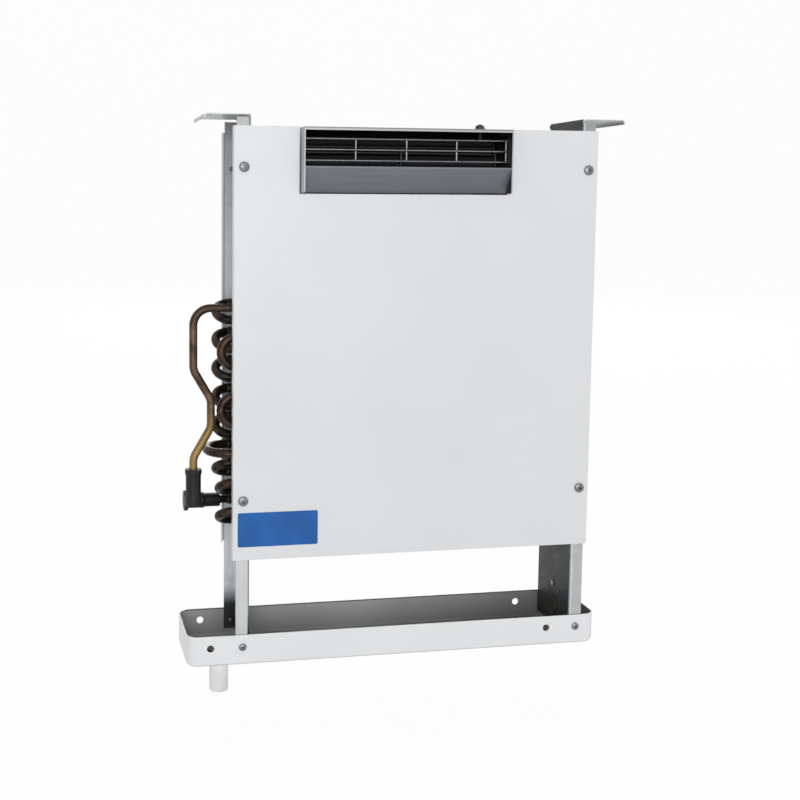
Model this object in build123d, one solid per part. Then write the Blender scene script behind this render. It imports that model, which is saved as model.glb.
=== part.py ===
from build123d import *
import math
import os

# Counter evaporator: a finned coil hung between two channel end plates, with a cross-flow
# fan above it and a drip tray below. Millimetres, +X right, +Y to the back, +Z up.
# The origin is the centre of the ceiling plane, on top of the two hanging ears.

# Coil
tube_rows = 3
tubes_high = 8
plain_sides = 12
bend_steps = 6
tube_pitch = 25.4
tube_od = 7.94
row_pitch = tube_pitch * math.cos(math.radians(30))
coil_length = 296.0
coil_drop = 157.6
fin_count = 6
fin_thickness = 0.5
fin_side_gap = 1.0
return_lead = 10.5
hairpin_lead = 4.0

# End plates, folded into channels that open outwards, with a hanging ear on top
plate_thickness = 1.0
plate_foot_room = 106.2
flange_width = 12.0
bend_radius = 2.5
ear_reach = 39.5
ear_lip = 4.0
flange_relief = 3.0
ear_slot_width = 6.5
ear_slot_length = 12.0
ear_slot_inset = 12.5
ear_slot_spacing = 44.0

# Front and rear panels
panel_thickness = 1.0
panel_side_gap = 1.8
panel_return = 7.0
front_panel_drop = 10.2
front_air_gap = 66.3
rear_panel_drop = 12.5
rear_air_gap = 63.8
panel_screw_top = 44.5
panel_screw_foot = 52.0
panel_edge_radius = 1.2
label_width = 70.5
label_height = 30.0
label_thickness = 0.3
label_side_gap = 4.2
label_bottom_gap = 11.6
label_corner = 1.5

# Fan wheel
wheel_diameter = 40.0
blade_count = 22
blade_camber = 0.2
blade_rim_gap = 0.4
blade_depth = 6.0
blade_thickness = 0.6
blade_rake = 24.0
disc_thickness = 1.5
stiffening_rings = 1
ring_overlap = 1.0
wheel_axis_y = -3.0
wheel_roof_gap = 4.7
shaft_diameter = 5.0
running_clearance = 0.05

# Fan housing
housing_left_room = 42.4
housing_side_gap = 3.8
housing_sheet = 0.8
side_plate_thickness = 1.0
housing_drop = 11.0
hood_projection = 13.5
hood_front_lip = 2.6
outlet_height = 30.0
lip_plate_height = 22.0
tongue_gap = 2.5
scroll_centre_rise = 1.3
scroll_end_angle = -52.0
tongue_tip_angle = 200.0
tongue_tail_angle = 228.0
tongue_tail_rise = 1.5
scroll_tail_run = 1.5
scroll_foot_gap = 2.0
cutout_gap = 1.0
side_flange = 10.0
fixing_inset = 11.0
hood_corner = 1.5

# Outlet grille, welded from wire
wire_diameter = 1.8
grille_rows = 3
grille_row_pitch = 9.2
grille_top_gap = 8.2
grille_bays = 4
grille_depth = 3.0
grille_side_inset = 1.2
grille_middle_gap = 0.3
wire_sides = 6
grille_weld = 0.75

# Fan motor, a shaded-pole motor with its rotor on the fan's axis
stator_length = 20.0
stator_width = 54.0
stator_above = 20.0
stator_below = 46.0
stator_leg = 11.0
stator_corner = 3.0
window_height = 17.0
window_width = 32.0
rotor_diameter = 25.0
rotor_overhang = 1.0
air_gap = 0.4
winding_width = 27.0
winding_wall = 6.5
winding_corner = 2.0
bobbin_wall = 1.2
bracket_thickness = 2.0
bracket_height = 15.0
bracket_standoff = 6.0
bearing_boss_diameter = 14.0
bearing_boss_length = 7.0
boss_hole_gap = 1.0
motor_standoff = 8.0
motor_end_room = 21.0
motor_screw_diameter = 3.5
motor_screw_inset = 4.5
motor_head_height = 2.2
winding_cheek = 1.5
hub_diameter = 14.0
hub_length = 7.0
boot_diameter = 26.0
boot_thickness = 6.0
boot_lip = 2.0
bearing_diameter = 12.0
bearing_length = 8.0

# Drip tray and drain
tray_left_room = 42.5
tray_right_room = 14.5
tray_wall = 1.0
tray_fit = 0.5
tray_height = 26.6
tray_overlap = 19.2
tray_corner = 11.0
tray_edge = 3.0
tray_screw_rise = 16.0
tray_hole_diameter = 6.5
drain_end_gap = 32.9
drain_diameter = 17.0
drain_neck = 16.4
drain_bore = 13.0
drain_length = 35.6
drain_flange_diameter = 25.0
drain_flange_thickness = 1.5
drain_seal_thickness = 1.5
drain_seal_overhang = 1.0

# Connecting pipes and their transport caps
pipe_od = 7.0
pipe_wall = 0.8
pipe_bend_radius = 12.0
outlet_bend_gap = 1.33
outlet_jog = 15.2
outlet_jog_top = 53.0
outlet_jog_slope = 26.0
outlet_jog_straight = 24.0
outlet_free_length = 10.0
inlet_free_length = 7.5
cap_diameter = 14.4
cap_engagement = 28.0
cap_end = 4.6
cap_head_diameter = 18.3
cap_head_length = 4.2
cap_clearance = 0.05
cap_stop_gap = 0.3

# Small pieces
screw_head_diameter = 8.7
screw_head_height = 2.4
tray_head_diameter = 6.6
tray_head_height = 2.0
screw_shank_diameter = 3.9
screw_grip = 7.0
screw_crown = 0.6
bolt_diameter = 4.0
bolt_length = 9.0
bolt_nut_size = 7.0
bolt_nut_height = 3.2
bolt_head_height = 1.6
bolt_end_show = 1.0
bolt_side_gap = 27.5
bolt_front_gap = 6.0
grommet_diameter = 18.0
grommet_recess = 10.0
grommet_membrane = 1.0
grommet_groove = 1.0
grommet_lip = 1.5
grommet_rise = 17.3
rivet_diameter = 3.2
rivet_head_diameter = 5.0
rivet_head_height = 1.0
rivet_rise = 38.0

# Places worked out from the sizes above
web_inner = coil_length / 2
web_outer = web_inner + plate_thickness
flange_tip = web_inner + flange_width
fin_height = tubes_high * tube_pitch
fin_depth = tube_rows * row_pitch
plate_depth = fin_depth + 2 * (fin_side_gap + plate_thickness)
plate_height = coil_drop + fin_height + plate_foot_room
half_depth = plate_depth / 2
ear_slot_span = 2 * (web_inner + ear_reach - ear_slot_inset)
screw_x = web_inner + flange_width / 2
bend_x = web_inner + return_lead
hairpin_x = web_inner + hairpin_lead
plain_flat = math.cos(math.pi / plain_sides)
panel_face = half_depth + panel_thickness
panel_width = 2 * (flange_tip + panel_side_gap + panel_thickness)
tray_rim = -plate_height + tray_overlap
front_panel_foot = tray_rim + front_air_gap
rear_panel_foot = tray_rim + rear_air_gap
front_panel_height = -front_panel_drop - front_panel_foot
rear_panel_height = -rear_panel_drop - rear_panel_foot
wheel_radius = wheel_diameter / 2
wheel_axis_z = -housing_drop - housing_sheet - wheel_roof_gap - wheel_radius
motor_length = 2 * (bracket_standoff + bracket_thickness) + stator_length
motor_reach = motor_standoff + motor_length + bearing_boss_length - bracket_thickness
side_left = -web_inner + housing_left_room
side_right = web_inner - motor_end_room - motor_reach
housing_left = side_left + side_plate_thickness
housing_right = side_right - side_plate_thickness
wheel_left = housing_left + housing_side_gap
wheel_right = housing_right - housing_side_gap
wheel_length = wheel_right - wheel_left
hood_face = -panel_face - hood_projection
grille_y = -panel_face - grille_depth
lip_top = -housing_drop - hood_front_lip - outlet_height
lip_bottom = lip_top - lip_plate_height
housing_back = half_depth
stator_left = side_right + motor_standoff + bracket_thickness + bracket_standoff
stator_right = stator_left + stator_length
motor_screw_y = stator_width / 2 - motor_screw_inset
tray_length = 2 * flange_tip + tray_left_room + tray_right_room
tray_shift = (tray_right_room - tray_left_room) / 2
tray_floor = tray_rim - tray_height
tray_width = plate_depth + 2 * (tray_fit + tray_wall)
tray_screw_z = tray_floor + tray_screw_rise
drain_x = tray_shift - tray_length / 2 + drain_end_gap
boot_seat = boot_diameter / 2 - boot_lip
return_reach = bend_x + tube_pitch / 2 + tube_od / 2
outlet_near_x = -return_reach - outlet_bend_gap - pipe_od / 2
outlet_far_x = outlet_near_x - outlet_jog
outlet_tail = outlet_free_length + cap_engagement
inlet_end_x = -bend_x - inlet_free_length - cap_engagement


def block(x0, x1, y0, y1, z0, z1):
    """A rectangular solid between two corners."""
    return Pos((x0 + x1) / 2, (y0 + y1) / 2, (z0 + z1) / 2) * Box(x1 - x0, y1 - y0, z1 - z0)


def rod_x(radius, x0, x1, y, z):
    """A round bar along X."""
    return Pos((x0 + x1) / 2, y, z) * Rot(0, 90, 0) * Cylinder(radius, abs(x1 - x0))


def rod_y(radius, y0, y1, x, z):
    """A round bar along Y."""
    return Pos(x, (y0 + y1) / 2, z) * Rot(90, 0, 0) * Cylinder(radius, abs(y1 - y0))


def rod_z(radius, z0, z1, x, y):
    """A round bar along Z."""
    return Pos(x, y, (z0 + z1) / 2) * Cylinder(radius, abs(z1 - z0))


def side_view(x, y=0, z=0):
    """The plane of a section that is drawn in (y, z) and extruded along X."""
    return Plane((x, y, z), x_dir=(0, 1, 0), z_dir=(1, 0, 0))


def plain_bar(radius, start, end, sides=plain_sides):
    """A bar with flat sides that stands for a round one, because there are so many of them."""
    start = Vector(*start)
    run = Vector(*end) - start
    place = Plane(origin=start, z_dir=run.normalized())
    return extrude(place * RegularPolygon(radius, sides), run.length)


def save(name, *solids):
    """Write one node as a STEP file."""
    shape = solids[0] if len(solids) == 1 else Compound(children=list(solids))
    export_step(shape, os.path.join("parts", name + ".step"))


def tube_place(row, level):
    """Centre of one coil tube, (y, z): row 1 is at the front, level 1 at the top."""
    stagger = 0.5 if row % 2 == 0 else 0.0
    y = (row - (tube_rows + 1) / 2) * row_pitch
    z = -coil_drop - (level - 0.75 + stagger) * tube_pitch
    return y, z


def all_tubes():
    """Every tube centre of the coil."""
    return [tube_place(row, level) for row in range(1, tube_rows + 1) for level in range(1, tubes_high + 1)]


def left_returns():
    """The coil's circuit on the left: which tube ends each return bend joins."""
    rear = [((3, level), (2, level)) for level in range(1, tubes_high - 2)]
    front = [((1, level), (1, level + 1)) for level in (2, 4)]
    lower = [((2, tubes_high - 2), (3, tubes_high - 1))]
    lower += [((1, level), (2, level)) for level in (tubes_high - 1, tubes_high)]
    return rear + front + lower


def right_hairpins():
    """The circuit on the right: the tube pairs that are bent from one length."""
    low = [((3, 8), (2, 8)), ((1, 8), (1, 7)), ((2, 7), (3, 7)), ((2, 6), (2, 5))]
    middle = [((3, 5), (3, 6)), ((1, 6), (1, 5)), ((1, 4), (2, 4)), ((3, 4), (3, 3))]
    high = [((2, 3), (1, 3)), ((1, 2), (2, 2)), ((3, 2), (3, 1)), ((2, 1), (1, 1))]
    return low + middle + high


def half_circle(first, second, x, side):
    """Corners of a half circle that joins two tube centres, in straight steps that touch it."""
    y1, z1 = first
    y2, z2 = second
    radius = math.dist(first, second) / 2
    stretch = 1 / math.cos(math.pi / (2 * bend_steps))
    corners = [(x, y1, z1)]
    for step in range(bend_steps):
        turn = math.pi * (step + 0.5) / bend_steps
        across = (1 - stretch * math.cos(turn)) / 2
        bulge = side * radius * stretch * math.sin(turn)
        corners.append((x + bulge, y1 + (y2 - y1) * across, z1 + (z2 - z1) * across))
    return corners + [(x, y2, z2)]


def bent_bar(corners):
    """A coil tube along the corners of a path that starts along X."""
    section = side_view(*corners[0]) * RegularPolygon(tube_od / 2, plain_sides)
    return sweep(section, path=Polyline(*corners), transition=Transition.RIGHT)


def return_bend(first, second):
    """A bend brazed to two tube ends on the left."""
    return bent_bar(half_circle(first, second, -bend_x, -1))


def hairpin(first, second):
    """Two straight tubes and the bend that joins them on the right."""
    corners = half_circle(first, second, hairpin_x, 1)
    return bent_bar([(-bend_x, *first)] + corners + [(-bend_x, *second)])


def coil_tubes():
    save("hairpin_tubes", *[hairpin(tube_place(*a), tube_place(*b)) for a, b in right_hairpins()])
    save("return_bends", *[return_bend(tube_place(*a), tube_place(*b)) for a, b in left_returns()])
    save("crossover_bend", return_bend(tube_place(1, tubes_high - 2), tube_place(tube_rows, tubes_high - 2)))


def fins():
    """Plain plate fins, pierced by every tube."""
    outline = Rectangle(fin_depth, fin_height)
    middle_z = -coil_drop - fin_height / 2
    hole = tube_od * plain_flat
    for y, z in all_tubes():
        outline -= Pos(y, z - middle_z) * Rectangle(hole, hole, rotation=45)
    pitch = coil_length / fin_count
    plates = []
    for index in range(fin_count):
        x = -web_inner + (index + 0.5) * pitch - fin_thickness / 2
        plates.append(extrude(side_view(x, 0, middle_z) * outline, fin_thickness))
    save("fins", *plates)


def end_plate_blank():
    """The right-hand end plate before its own holes: a channel and its folded ear."""
    outer = Rectangle(flange_width, plate_depth, align=(Align.MIN, Align.CENTER))
    outer = fillet(outer.vertices().group_by(Axis.X)[0], bend_radius)
    inner = Rectangle(flange_width, plate_depth - 2 * plate_thickness, align=(Align.MIN, Align.CENTER))
    inner = fillet(inner.vertices().group_by(Axis.X)[0], bend_radius - plate_thickness)
    section = outer - Pos(plate_thickness, 0) * inner
    channel = extrude(Plane((web_inner, 0, -plate_height)) * section, plate_height)
    channel -= block(web_outer, flange_tip + 1, -half_depth - 1, half_depth + 1, -flange_relief, 1)
    ear = block(web_inner, web_inner + ear_reach, -half_depth, half_depth, -ear_lip, 0)
    ear = fillet(ear.edges().filter_by(Axis.Y).group_by(Axis.Z)[-1], bend_radius)
    pocket = block(web_outer, web_inner + ear_reach - plate_thickness, -half_depth - 1, half_depth + 1,
                   -ear_lip - 1, -plate_thickness)
    pocket = fillet(pocket.edges().filter_by(Axis.Y).group_by(Axis.Z)[-1], bend_radius - plate_thickness)
    ear -= pocket
    for side in (-1, 1):
        slot = SlotOverall(ear_slot_length, ear_slot_width)
        cutter = Pos(ear_slot_span / 2, side * ear_slot_spacing / 2, -ear_lip) * extrude(slot, 2 * ear_lip)
        ear -= cutter
    plate = channel + ear
    for y, z in all_tubes():
        plate -= plain_bar(tube_od / 2, (web_inner - 1, y, z), (web_outer + 1, y, z))
    front_heights = panel_screw_heights(front_panel_foot) + (tray_screw_z,)
    rear_heights = panel_screw_heights(rear_panel_foot) + (tray_screw_z,)
    for z in front_heights:
        plate -= screw_hole(screw_x, z, -1)
    for z in rear_heights:
        plate -= screw_hole(screw_x, z, 1)
    return plate


def screw_hole(x, z, side):
    """A cutter for a screw through the front (-1) or the rear (1) walls."""
    return plain_bar(screw_shank_diameter / 2, (x, side * (half_depth - screw_grip), z), (x, side * tray_width, z))


def panel_screw_heights(panel_foot):
    return (-panel_screw_top, panel_foot + panel_screw_foot)


def end_plates():
    blank = end_plate_blank()
    right = blank - rod_x(grommet_diameter / 2 - grommet_lip, web_inner - 1, web_outer + 1, 0, grommet_z())
    right -= rod_x(rivet_diameter / 2, web_inner - 1, web_outer + 1, 0, rivet_z())
    save("right_end_plate", right)
    save("left_end_plate", mirror(blank, Plane.YZ))


def grommet_z():
    return -plate_height + grommet_rise


def rivet_z():
    return -plate_height + rivet_rise


def web_grommet():
    """A blind rubber grommet in the hole near the foot of the right end plate."""
    lip_r = grommet_diameter / 2
    neck_r = lip_r - grommet_lip
    ring = rod_x(lip_r, web_inner - grommet_groove, web_outer + grommet_groove, 0, grommet_z())
    groove = rod_x(lip_r + 1, web_inner, web_outer, 0, grommet_z())
    groove -= rod_x(neck_r, web_inner, web_outer, 0, grommet_z())
    ring -= groove
    ring -= rod_x(grommet_recess / 2, web_inner - grommet_groove - 1, web_outer - grommet_membrane, 0, grommet_z())
    save("plate_grommet", ring)


def web_rivet():
    z = rivet_z()
    rivet = rod_x(rivet_diameter / 2, web_inner, web_outer + rivet_head_height, 0, z)
    rivet += rod_x(rivet_head_diameter / 2, web_inner - rivet_head_height, web_inner, 0, z)
    save("plate_rivet", rivet)


def panel(height):
    """A flat panel with a short return down each side, standing on z = 0, outside face at y = 0."""
    half = panel_width / 2
    tray_form = block(-half, half, 0, panel_return, 0, height)
    tray_form = fillet(tray_form.edges().filter_by(Axis.Z).group_by(Axis.Y)[0], panel_edge_radius)
    inside = block(-half + panel_thickness, half - panel_thickness, panel_thickness, panel_return + 1, -1, height + 1)
    return tray_form - inside


def panels():
    front = Pos(0, -panel_face, front_panel_foot) * panel(front_panel_height)
    front -= block(side_left - cutout_gap, side_right + cutout_gap, -panel_face - 1, 0,
                   lip_bottom - cutout_gap, 0)
    rear = Pos(0, panel_face, rear_panel_foot) * Rot(0, 0, 180) * panel(rear_panel_height)
    for side in (-1, 1):
        for z in panel_screw_heights(front_panel_foot):
            front -= screw_hole(side * screw_x, z, -1)
        for z in panel_screw_heights(rear_panel_foot):
            rear -= screw_hole(side * screw_x, z, 1)
    for x, z in fan_fixing_places():
        rear -= screw_hole(x, z, 1)
    save("front_panel", front)
    save("rear_panel", rear)


def panel_label():
    """The plain blue label at the panel's lower left corner."""
    left = -panel_width / 2 + label_side_gap
    bottom = front_panel_foot + label_bottom_gap
    shape = RectangleRounded(label_width, label_height, label_corner)
    place = Plane((left + label_width / 2, -panel_face, bottom + label_height / 2), x_dir=(1, 0, 0), z_dir=(0, -1, 0))
    save("blank_label", extrude(place * shape, label_thickness))


def pan_screw(head_diameter, head_height):
    """A domed screw: underside of its head at z = 0, shank pointing down."""
    base = RegularPolygon(head_diameter / 2, plain_sides)
    crown = Pos(0, 0, head_height) * RegularPolygon(screw_crown * head_diameter / 2, plain_sides)
    shank = extrude(RegularPolygon(screw_shank_diameter / 2, plain_sides), -screw_grip)
    return loft([base, crown]) + shank


def screws():
    to_front = Rot(90, 0, 0)
    to_back = Rot(-90, 0, 0)
    screw = pan_screw(screw_head_diameter, screw_head_height)
    small = pan_screw(tray_head_diameter, tray_head_height)
    sides = (-1, 1)
    tray_face = tray_width / 2
    front_places = [(s * screw_x, z) for s in sides for z in panel_screw_heights(front_panel_foot)]
    rear_places = [(s * screw_x, z) for s in sides for z in panel_screw_heights(rear_panel_foot)]
    save("front_panel_screws", *[Pos(x, -panel_face, z) * to_front * screw for x, z in front_places])
    save("rear_panel_screws", *[Pos(x, panel_face, z) * to_back * screw for x, z in rear_places])
    save("front_tray_screws", *[Pos(s * screw_x, -tray_face, tray_screw_z) * to_front * small for s in sides])
    save("rear_tray_screws", *[Pos(s * screw_x, tray_face, tray_screw_z) * to_back * small for s in sides])
    save("fan_fixing_screws", *[Pos(x, panel_face, z) * to_back * screw for x, z in fan_fixing_places()])


def fan_fixing_places():
    """Screws that hold the fan housing's side plates to the rear panel."""
    inset = side_flange / 2
    heights = (-housing_drop - fixing_inset, lip_bottom + fixing_inset)
    return [(x, z) for x in (side_left - inset, side_right + inset) for z in heights]


def drip_tray():
    """A deep-drawn tray with round corners, open on top."""
    outer = extrude(RectangleRounded(tray_length, tray_width, tray_corner), tray_height)
    outer = Pos(tray_shift, 0, tray_floor) * outer
    outer = fillet(outer.faces().sort_by(Axis.Z)[0].edges(), tray_edge)
    hollow = extrude(RectangleRounded(tray_length - 2 * tray_wall, tray_width - 2 * tray_wall,
                                      tray_corner - tray_wall), tray_height)
    hollow = Pos(tray_shift, 0, tray_floor + tray_wall) * hollow
    hollow = fillet(hollow.faces().sort_by(Axis.Z)[0].edges(), tray_edge - tray_wall)
    tray = outer - hollow
    either_way_round = (screw_x + tray_shift, screw_x - tray_shift)
    for side in (-1, 1):
        for reach in either_way_round:
            x = tray_shift + side * reach
            tray -= plain_bar(tray_hole_diameter / 2, (x, -tray_width, tray_screw_z), (x, tray_width, tray_screw_z))
    tray -= rod_z(drain_neck / 2, tray_floor - 1, tray_floor + 2, drain_x, 0)
    save("drip_tray", tray)


def drain():
    seal_bottom = tray_floor + tray_wall
    flange_bottom = seal_bottom + drain_seal_thickness
    flange_top = flange_bottom + drain_flange_thickness
    spigot = rod_z(drain_diameter / 2, tray_floor - drain_length, tray_floor, drain_x, 0)
    spigot += rod_z(drain_neck / 2, tray_floor, flange_top, drain_x, 0)
    spigot += rod_z(drain_flange_diameter / 2, flange_bottom, flange_top, drain_x, 0)
    spigot -= rod_z(drain_bore / 2, tray_floor - drain_length - 1, flange_top + 1, drain_x, 0)
    seal = rod_z(drain_flange_diameter / 2 + drain_seal_overhang, seal_bottom, flange_bottom, drain_x, 0)
    seal -= rod_z(drain_neck / 2, seal_bottom - 1, flange_bottom + 1, drain_x, 0)
    save("drain_spigot", spigot)
    save("drain_seal", seal)


def pipes():
    y, z = tube_place(1, 1)
    far = outlet_far_x
    near = outlet_near_x
    jog_start = z - outlet_jog_top
    jog_in = jog_start - outlet_jog_slope
    jog_out = jog_in - outlet_jog_straight
    tail_top = jog_out - outlet_jog_slope
    tail_end = tail_top - outlet_tail
    points = [(-bend_x, y, z), (far, y, z), (far, y, jog_start), (near, y, jog_in), (near, y, jog_out),
              (far, y, tail_top), (far, y, tail_end)]
    path = FilletPolyline(*points, radius=pipe_bend_radius)
    pipe = sweep(Plane(points[0], z_dir=(-1, 0, 0)) * RegularPolygon(pipe_od / 2, plain_sides), path=path)
    pipe -= rod_z(pipe_od / 2 - pipe_wall, tail_end - 1, tail_end + cap_engagement, far, y)
    save("outlet_pipe", pipe)
    save("outlet_cap", Pos(far, y, tail_end) * Rot(180, 0, 0) * blind_cap(False))
    y, z = tube_place(tube_rows, tubes_high)
    inlet = rod_x(pipe_od / 2, inlet_end_x, -bend_x, y, z)
    inlet -= rod_x(pipe_od / 2 - pipe_wall, inlet_end_x - 1, 0, y, z)
    save("inlet_pipe", inlet)
    save("inlet_cap", Pos(inlet_end_x, y, z) * Rot(0, -90, 0) * blind_cap(True))


def blind_cap(headed):
    """A rubber cap pushed over a pipe that ends at z = 0 and comes from below."""
    body = rod_z(cap_diameter / 2, -cap_engagement, cap_end, 0, 0)
    if headed:
        body += rod_z(cap_head_diameter / 2, cap_end - cap_head_length, cap_end, 0, 0)
    return body - rod_z(pipe_od / 2 + cap_clearance, -cap_engagement - 1, cap_stop_gap, 0, 0)


def wheel_axis_bar(radius, x0, x1):
    return rod_x(radius, x0, x1, wheel_axis_y, wheel_axis_z)


def blade_section():
    """A cambered blade, drawn as a bent strip with its outer edge at the origin."""
    half = blade_thickness / 2
    camber = blade_camber * blade_depth
    middle = -blade_depth / 2
    outer_side = [(0, half), (middle, camber + half), (-blade_depth, half)]
    inner_side = [(-blade_depth, -half), (middle, camber - half), (0, -half)]
    return Rot(0, 0, blade_rake) * make_face(Polyline(*outer_side, *inner_side, close=True))


def fan_wheel():
    """The cross-flow wheel: cambered blades round the rim between thin discs and rings."""
    rim = wheel_radius
    inner = rim - blade_depth
    blade_length = wheel_length - 2 * disc_thickness
    start = side_view(wheel_left + disc_thickness, wheel_axis_y, wheel_axis_z)
    wheel = wheel_axis_bar(rim, wheel_left, wheel_left + disc_thickness)
    wheel += wheel_axis_bar(rim, wheel_right - disc_thickness, wheel_right)
    for index in range(1, stiffening_rings + 1):
        x = wheel_left + index * wheel_length / (stiffening_rings + 1)
        ring = wheel_axis_bar(rim, x - disc_thickness / 2, x + disc_thickness / 2)
        ring -= wheel_axis_bar(inner - ring_overlap, x - disc_thickness, x + disc_thickness)
        wheel += ring
    blades = []
    for index in range(blade_count):
        turned = Rot(0, 0, 360 / blade_count * index) * Pos(rim - blade_rim_gap, 0) * blade_section()
        blades.append(extrude(start * turned, blade_length))
    wheel += blades
    wheel -= wheel_axis_bar(shaft_diameter / 2, wheel_left - 1, wheel_right + 1)
    save("fan_wheel", wheel)


def fan_shafts():
    inner_end = wheel_right - disc_thickness - hub_length
    shaft = wheel_axis_bar(shaft_diameter / 2, inner_end, side_right + motor_reach)
    save("motor_shaft", shaft)
    rotor = wheel_axis_bar(rotor_diameter / 2, stator_left - rotor_overhang, stator_right + rotor_overhang)
    rotor -= wheel_axis_bar(shaft_diameter / 2, side_right, stator_right + stator_length)
    save("motor_rotor", rotor)
    hub = wheel_axis_bar(hub_diameter / 2, inner_end, wheel_right - disc_thickness)
    hub -= wheel_axis_bar(shaft_diameter / 2, wheel_left, wheel_right + 1)
    save("wheel_hub", hub)
    stub = wheel_axis_bar(shaft_diameter / 2, side_left - bearing_length / 2, wheel_left + disc_thickness + hub_length)
    save("stub_axle", stub)


def left_bearing():
    """A plain bush held in a rubber boot that clips into the left side plate."""
    middle = side_left + side_plate_thickness / 2
    bush = wheel_axis_bar(bearing_diameter / 2, middle - bearing_length / 2, middle + bearing_length / 2)
    bush -= wheel_axis_bar(shaft_diameter / 2 + running_clearance, side_left - 20, housing_left + 20)
    save("axle_bush", bush)
    boot = wheel_axis_bar(boot_seat, middle - boot_thickness / 2, middle + boot_thickness / 2)
    boot += wheel_axis_bar(boot_diameter / 2, side_left - boot_lip, side_left)
    boot -= wheel_axis_bar(bearing_diameter / 2, middle - boot_thickness, middle + boot_thickness)
    save("bearing_boot", boot)


def side_plate_outline():
    """Side view of a housing side plate, drawn in (y, z)."""
    points = [(hood_face, -housing_drop), (housing_back - side_plate_thickness, -housing_drop),
              (housing_back - side_plate_thickness, lip_bottom), (hood_face, lip_bottom)]
    face = make_face(Polyline(*points, close=True))
    return fillet(face.vertices().group_by(Axis.X)[0].sort_by(Axis.Y)[0], hood_corner)


def side_plate(x, outward):
    """One side of the fan housing, with a flange at the back for its fixing screws."""
    start = x if outward > 0 else x - side_plate_thickness
    plate = extrude(side_view(start) * side_plate_outline(), side_plate_thickness)
    tip = x + outward * side_flange
    y0 = housing_back - side_plate_thickness
    plate += block(min(x, tip), max(x, tip), y0, housing_back, lip_bottom, -housing_drop)
    for place_x, z in fan_fixing_places():
        plate -= screw_hole(place_x, z, 1)
    for row in (0, grille_rows - 1):
        plate -= grille_wire((x - side_flange, grille_y, grille_z(row)), (x + side_flange, grille_y, grille_z(row)))
    return plate


def grille_wire(start, end):
    return plain_bar(wire_diameter / 2, start, end, wire_sides)


def grille_z(row):
    return -housing_drop - grille_top_gap - wire_diameter / 2 - row * grille_row_pitch


def housing_sides():
    left = side_plate(housing_left, -1)
    left -= wheel_axis_bar(boot_seat, side_left - 1, housing_left + 1)
    save("left_side_plate", left)
    right = side_plate(housing_right, 1)
    right -= wheel_axis_bar(bearing_boss_diameter / 2 + boss_hole_gap, housing_right - 1, side_right + 1)
    for side in (-1, 1):
        right -= rod_x(motor_screw_diameter / 2, housing_right - 1, side_right + 1,
                       wheel_axis_y + side * motor_screw_y, wheel_axis_z)
    save("right_side_plate", right)


def scroll_arc_points():
    """Centre, radius and end point of the scroll's arc round the back of the wheel."""
    centre_z = wheel_axis_z + scroll_centre_rise
    radius = -housing_drop - housing_sheet / 2 - centre_z
    end = math.radians(scroll_end_angle)
    end_point = (wheel_axis_y + radius * math.cos(end), centre_z + radius * math.sin(end))
    return centre_z, radius, end_point


def scroll_sheet():
    """The hood's roof and the scroll behind the wheel, rolled from one sheet."""
    roof = -housing_drop - housing_sheet / 2
    centre_z, radius, end_point = scroll_arc_points()
    front = hood_face + housing_sheet / 2
    lip = Line((front, roof - hood_front_lip + housing_sheet / 2), (front, roof))
    top = Line((front, roof), (wheel_axis_y, roof))
    arc = ThreePointArc((wheel_axis_y, roof), (wheel_axis_y + radius, centre_z), end_point)
    lead_in = Line(end_point, (end_point[0] + scroll_tail_run, lip_bottom + scroll_foot_gap))
    section = trace(Curve() + [lip, top, arc, lead_in], housing_sheet)
    body = extrude(side_view(housing_left) * section, housing_right - housing_left)
    body -= rod_z(bolt_diameter / 2, roof - 2, roof + 2, bolt_x(), bolt_y())
    save("scroll_sheet", body)


def bolt_x():
    return housing_right - bolt_side_gap


def bolt_y():
    return hood_face + bolt_front_gap


def tongue_sheet():
    """The sloping lower lip of the outlet and the tongue that runs in under the wheel."""
    half = housing_sheet / 2
    toe = (-panel_face - housing_sheet, lip_bottom + half)
    nose = (hood_face + housing_sheet, lip_top - half)
    reach = wheel_radius + tongue_gap + half
    angle = math.radians(tongue_tip_angle)
    tip = (wheel_axis_y + reach * math.cos(angle), wheel_axis_z + reach * math.sin(angle))
    below = math.radians(tongue_tail_angle)
    far = reach + tongue_tail_rise
    tail = (wheel_axis_y + far * math.cos(below), wheel_axis_z + far * math.sin(below))
    section = trace(Curve() + [Line(toe, nose), Line(nose, tip), Line(tip, tail)], housing_sheet)
    body = extrude(side_view(housing_left) * section, housing_right - housing_left)
    save("tongue_sheet", body)


def outlet_grille():
    """Three long wires that run into the side plates, with short upright wires welded behind."""
    wires = []
    for row in range(grille_rows):
        outermost = row in (0, grille_rows - 1)
        reach = side_plate_thickness if outermost else -grille_middle_gap
        z = grille_z(row)
        wires.append(grille_wire((housing_left - reach, grille_y, z), (housing_right + reach, grille_y, z)))
    first_x = housing_left + grille_side_inset
    bay = (housing_right - grille_side_inset - first_x) / grille_bays
    behind = grille_y + wire_diameter * grille_weld
    for index in range(grille_bays + 1):
        x = first_x + index * bay
        top = grille_z(0) + wire_diameter / 2
        bottom = grille_z(grille_rows - 1) - wire_diameter / 2
        wires.append(grille_wire((x, behind, bottom), (x, behind, top)))
    save("outlet_grille", wires[0] + wires[1:])


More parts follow.
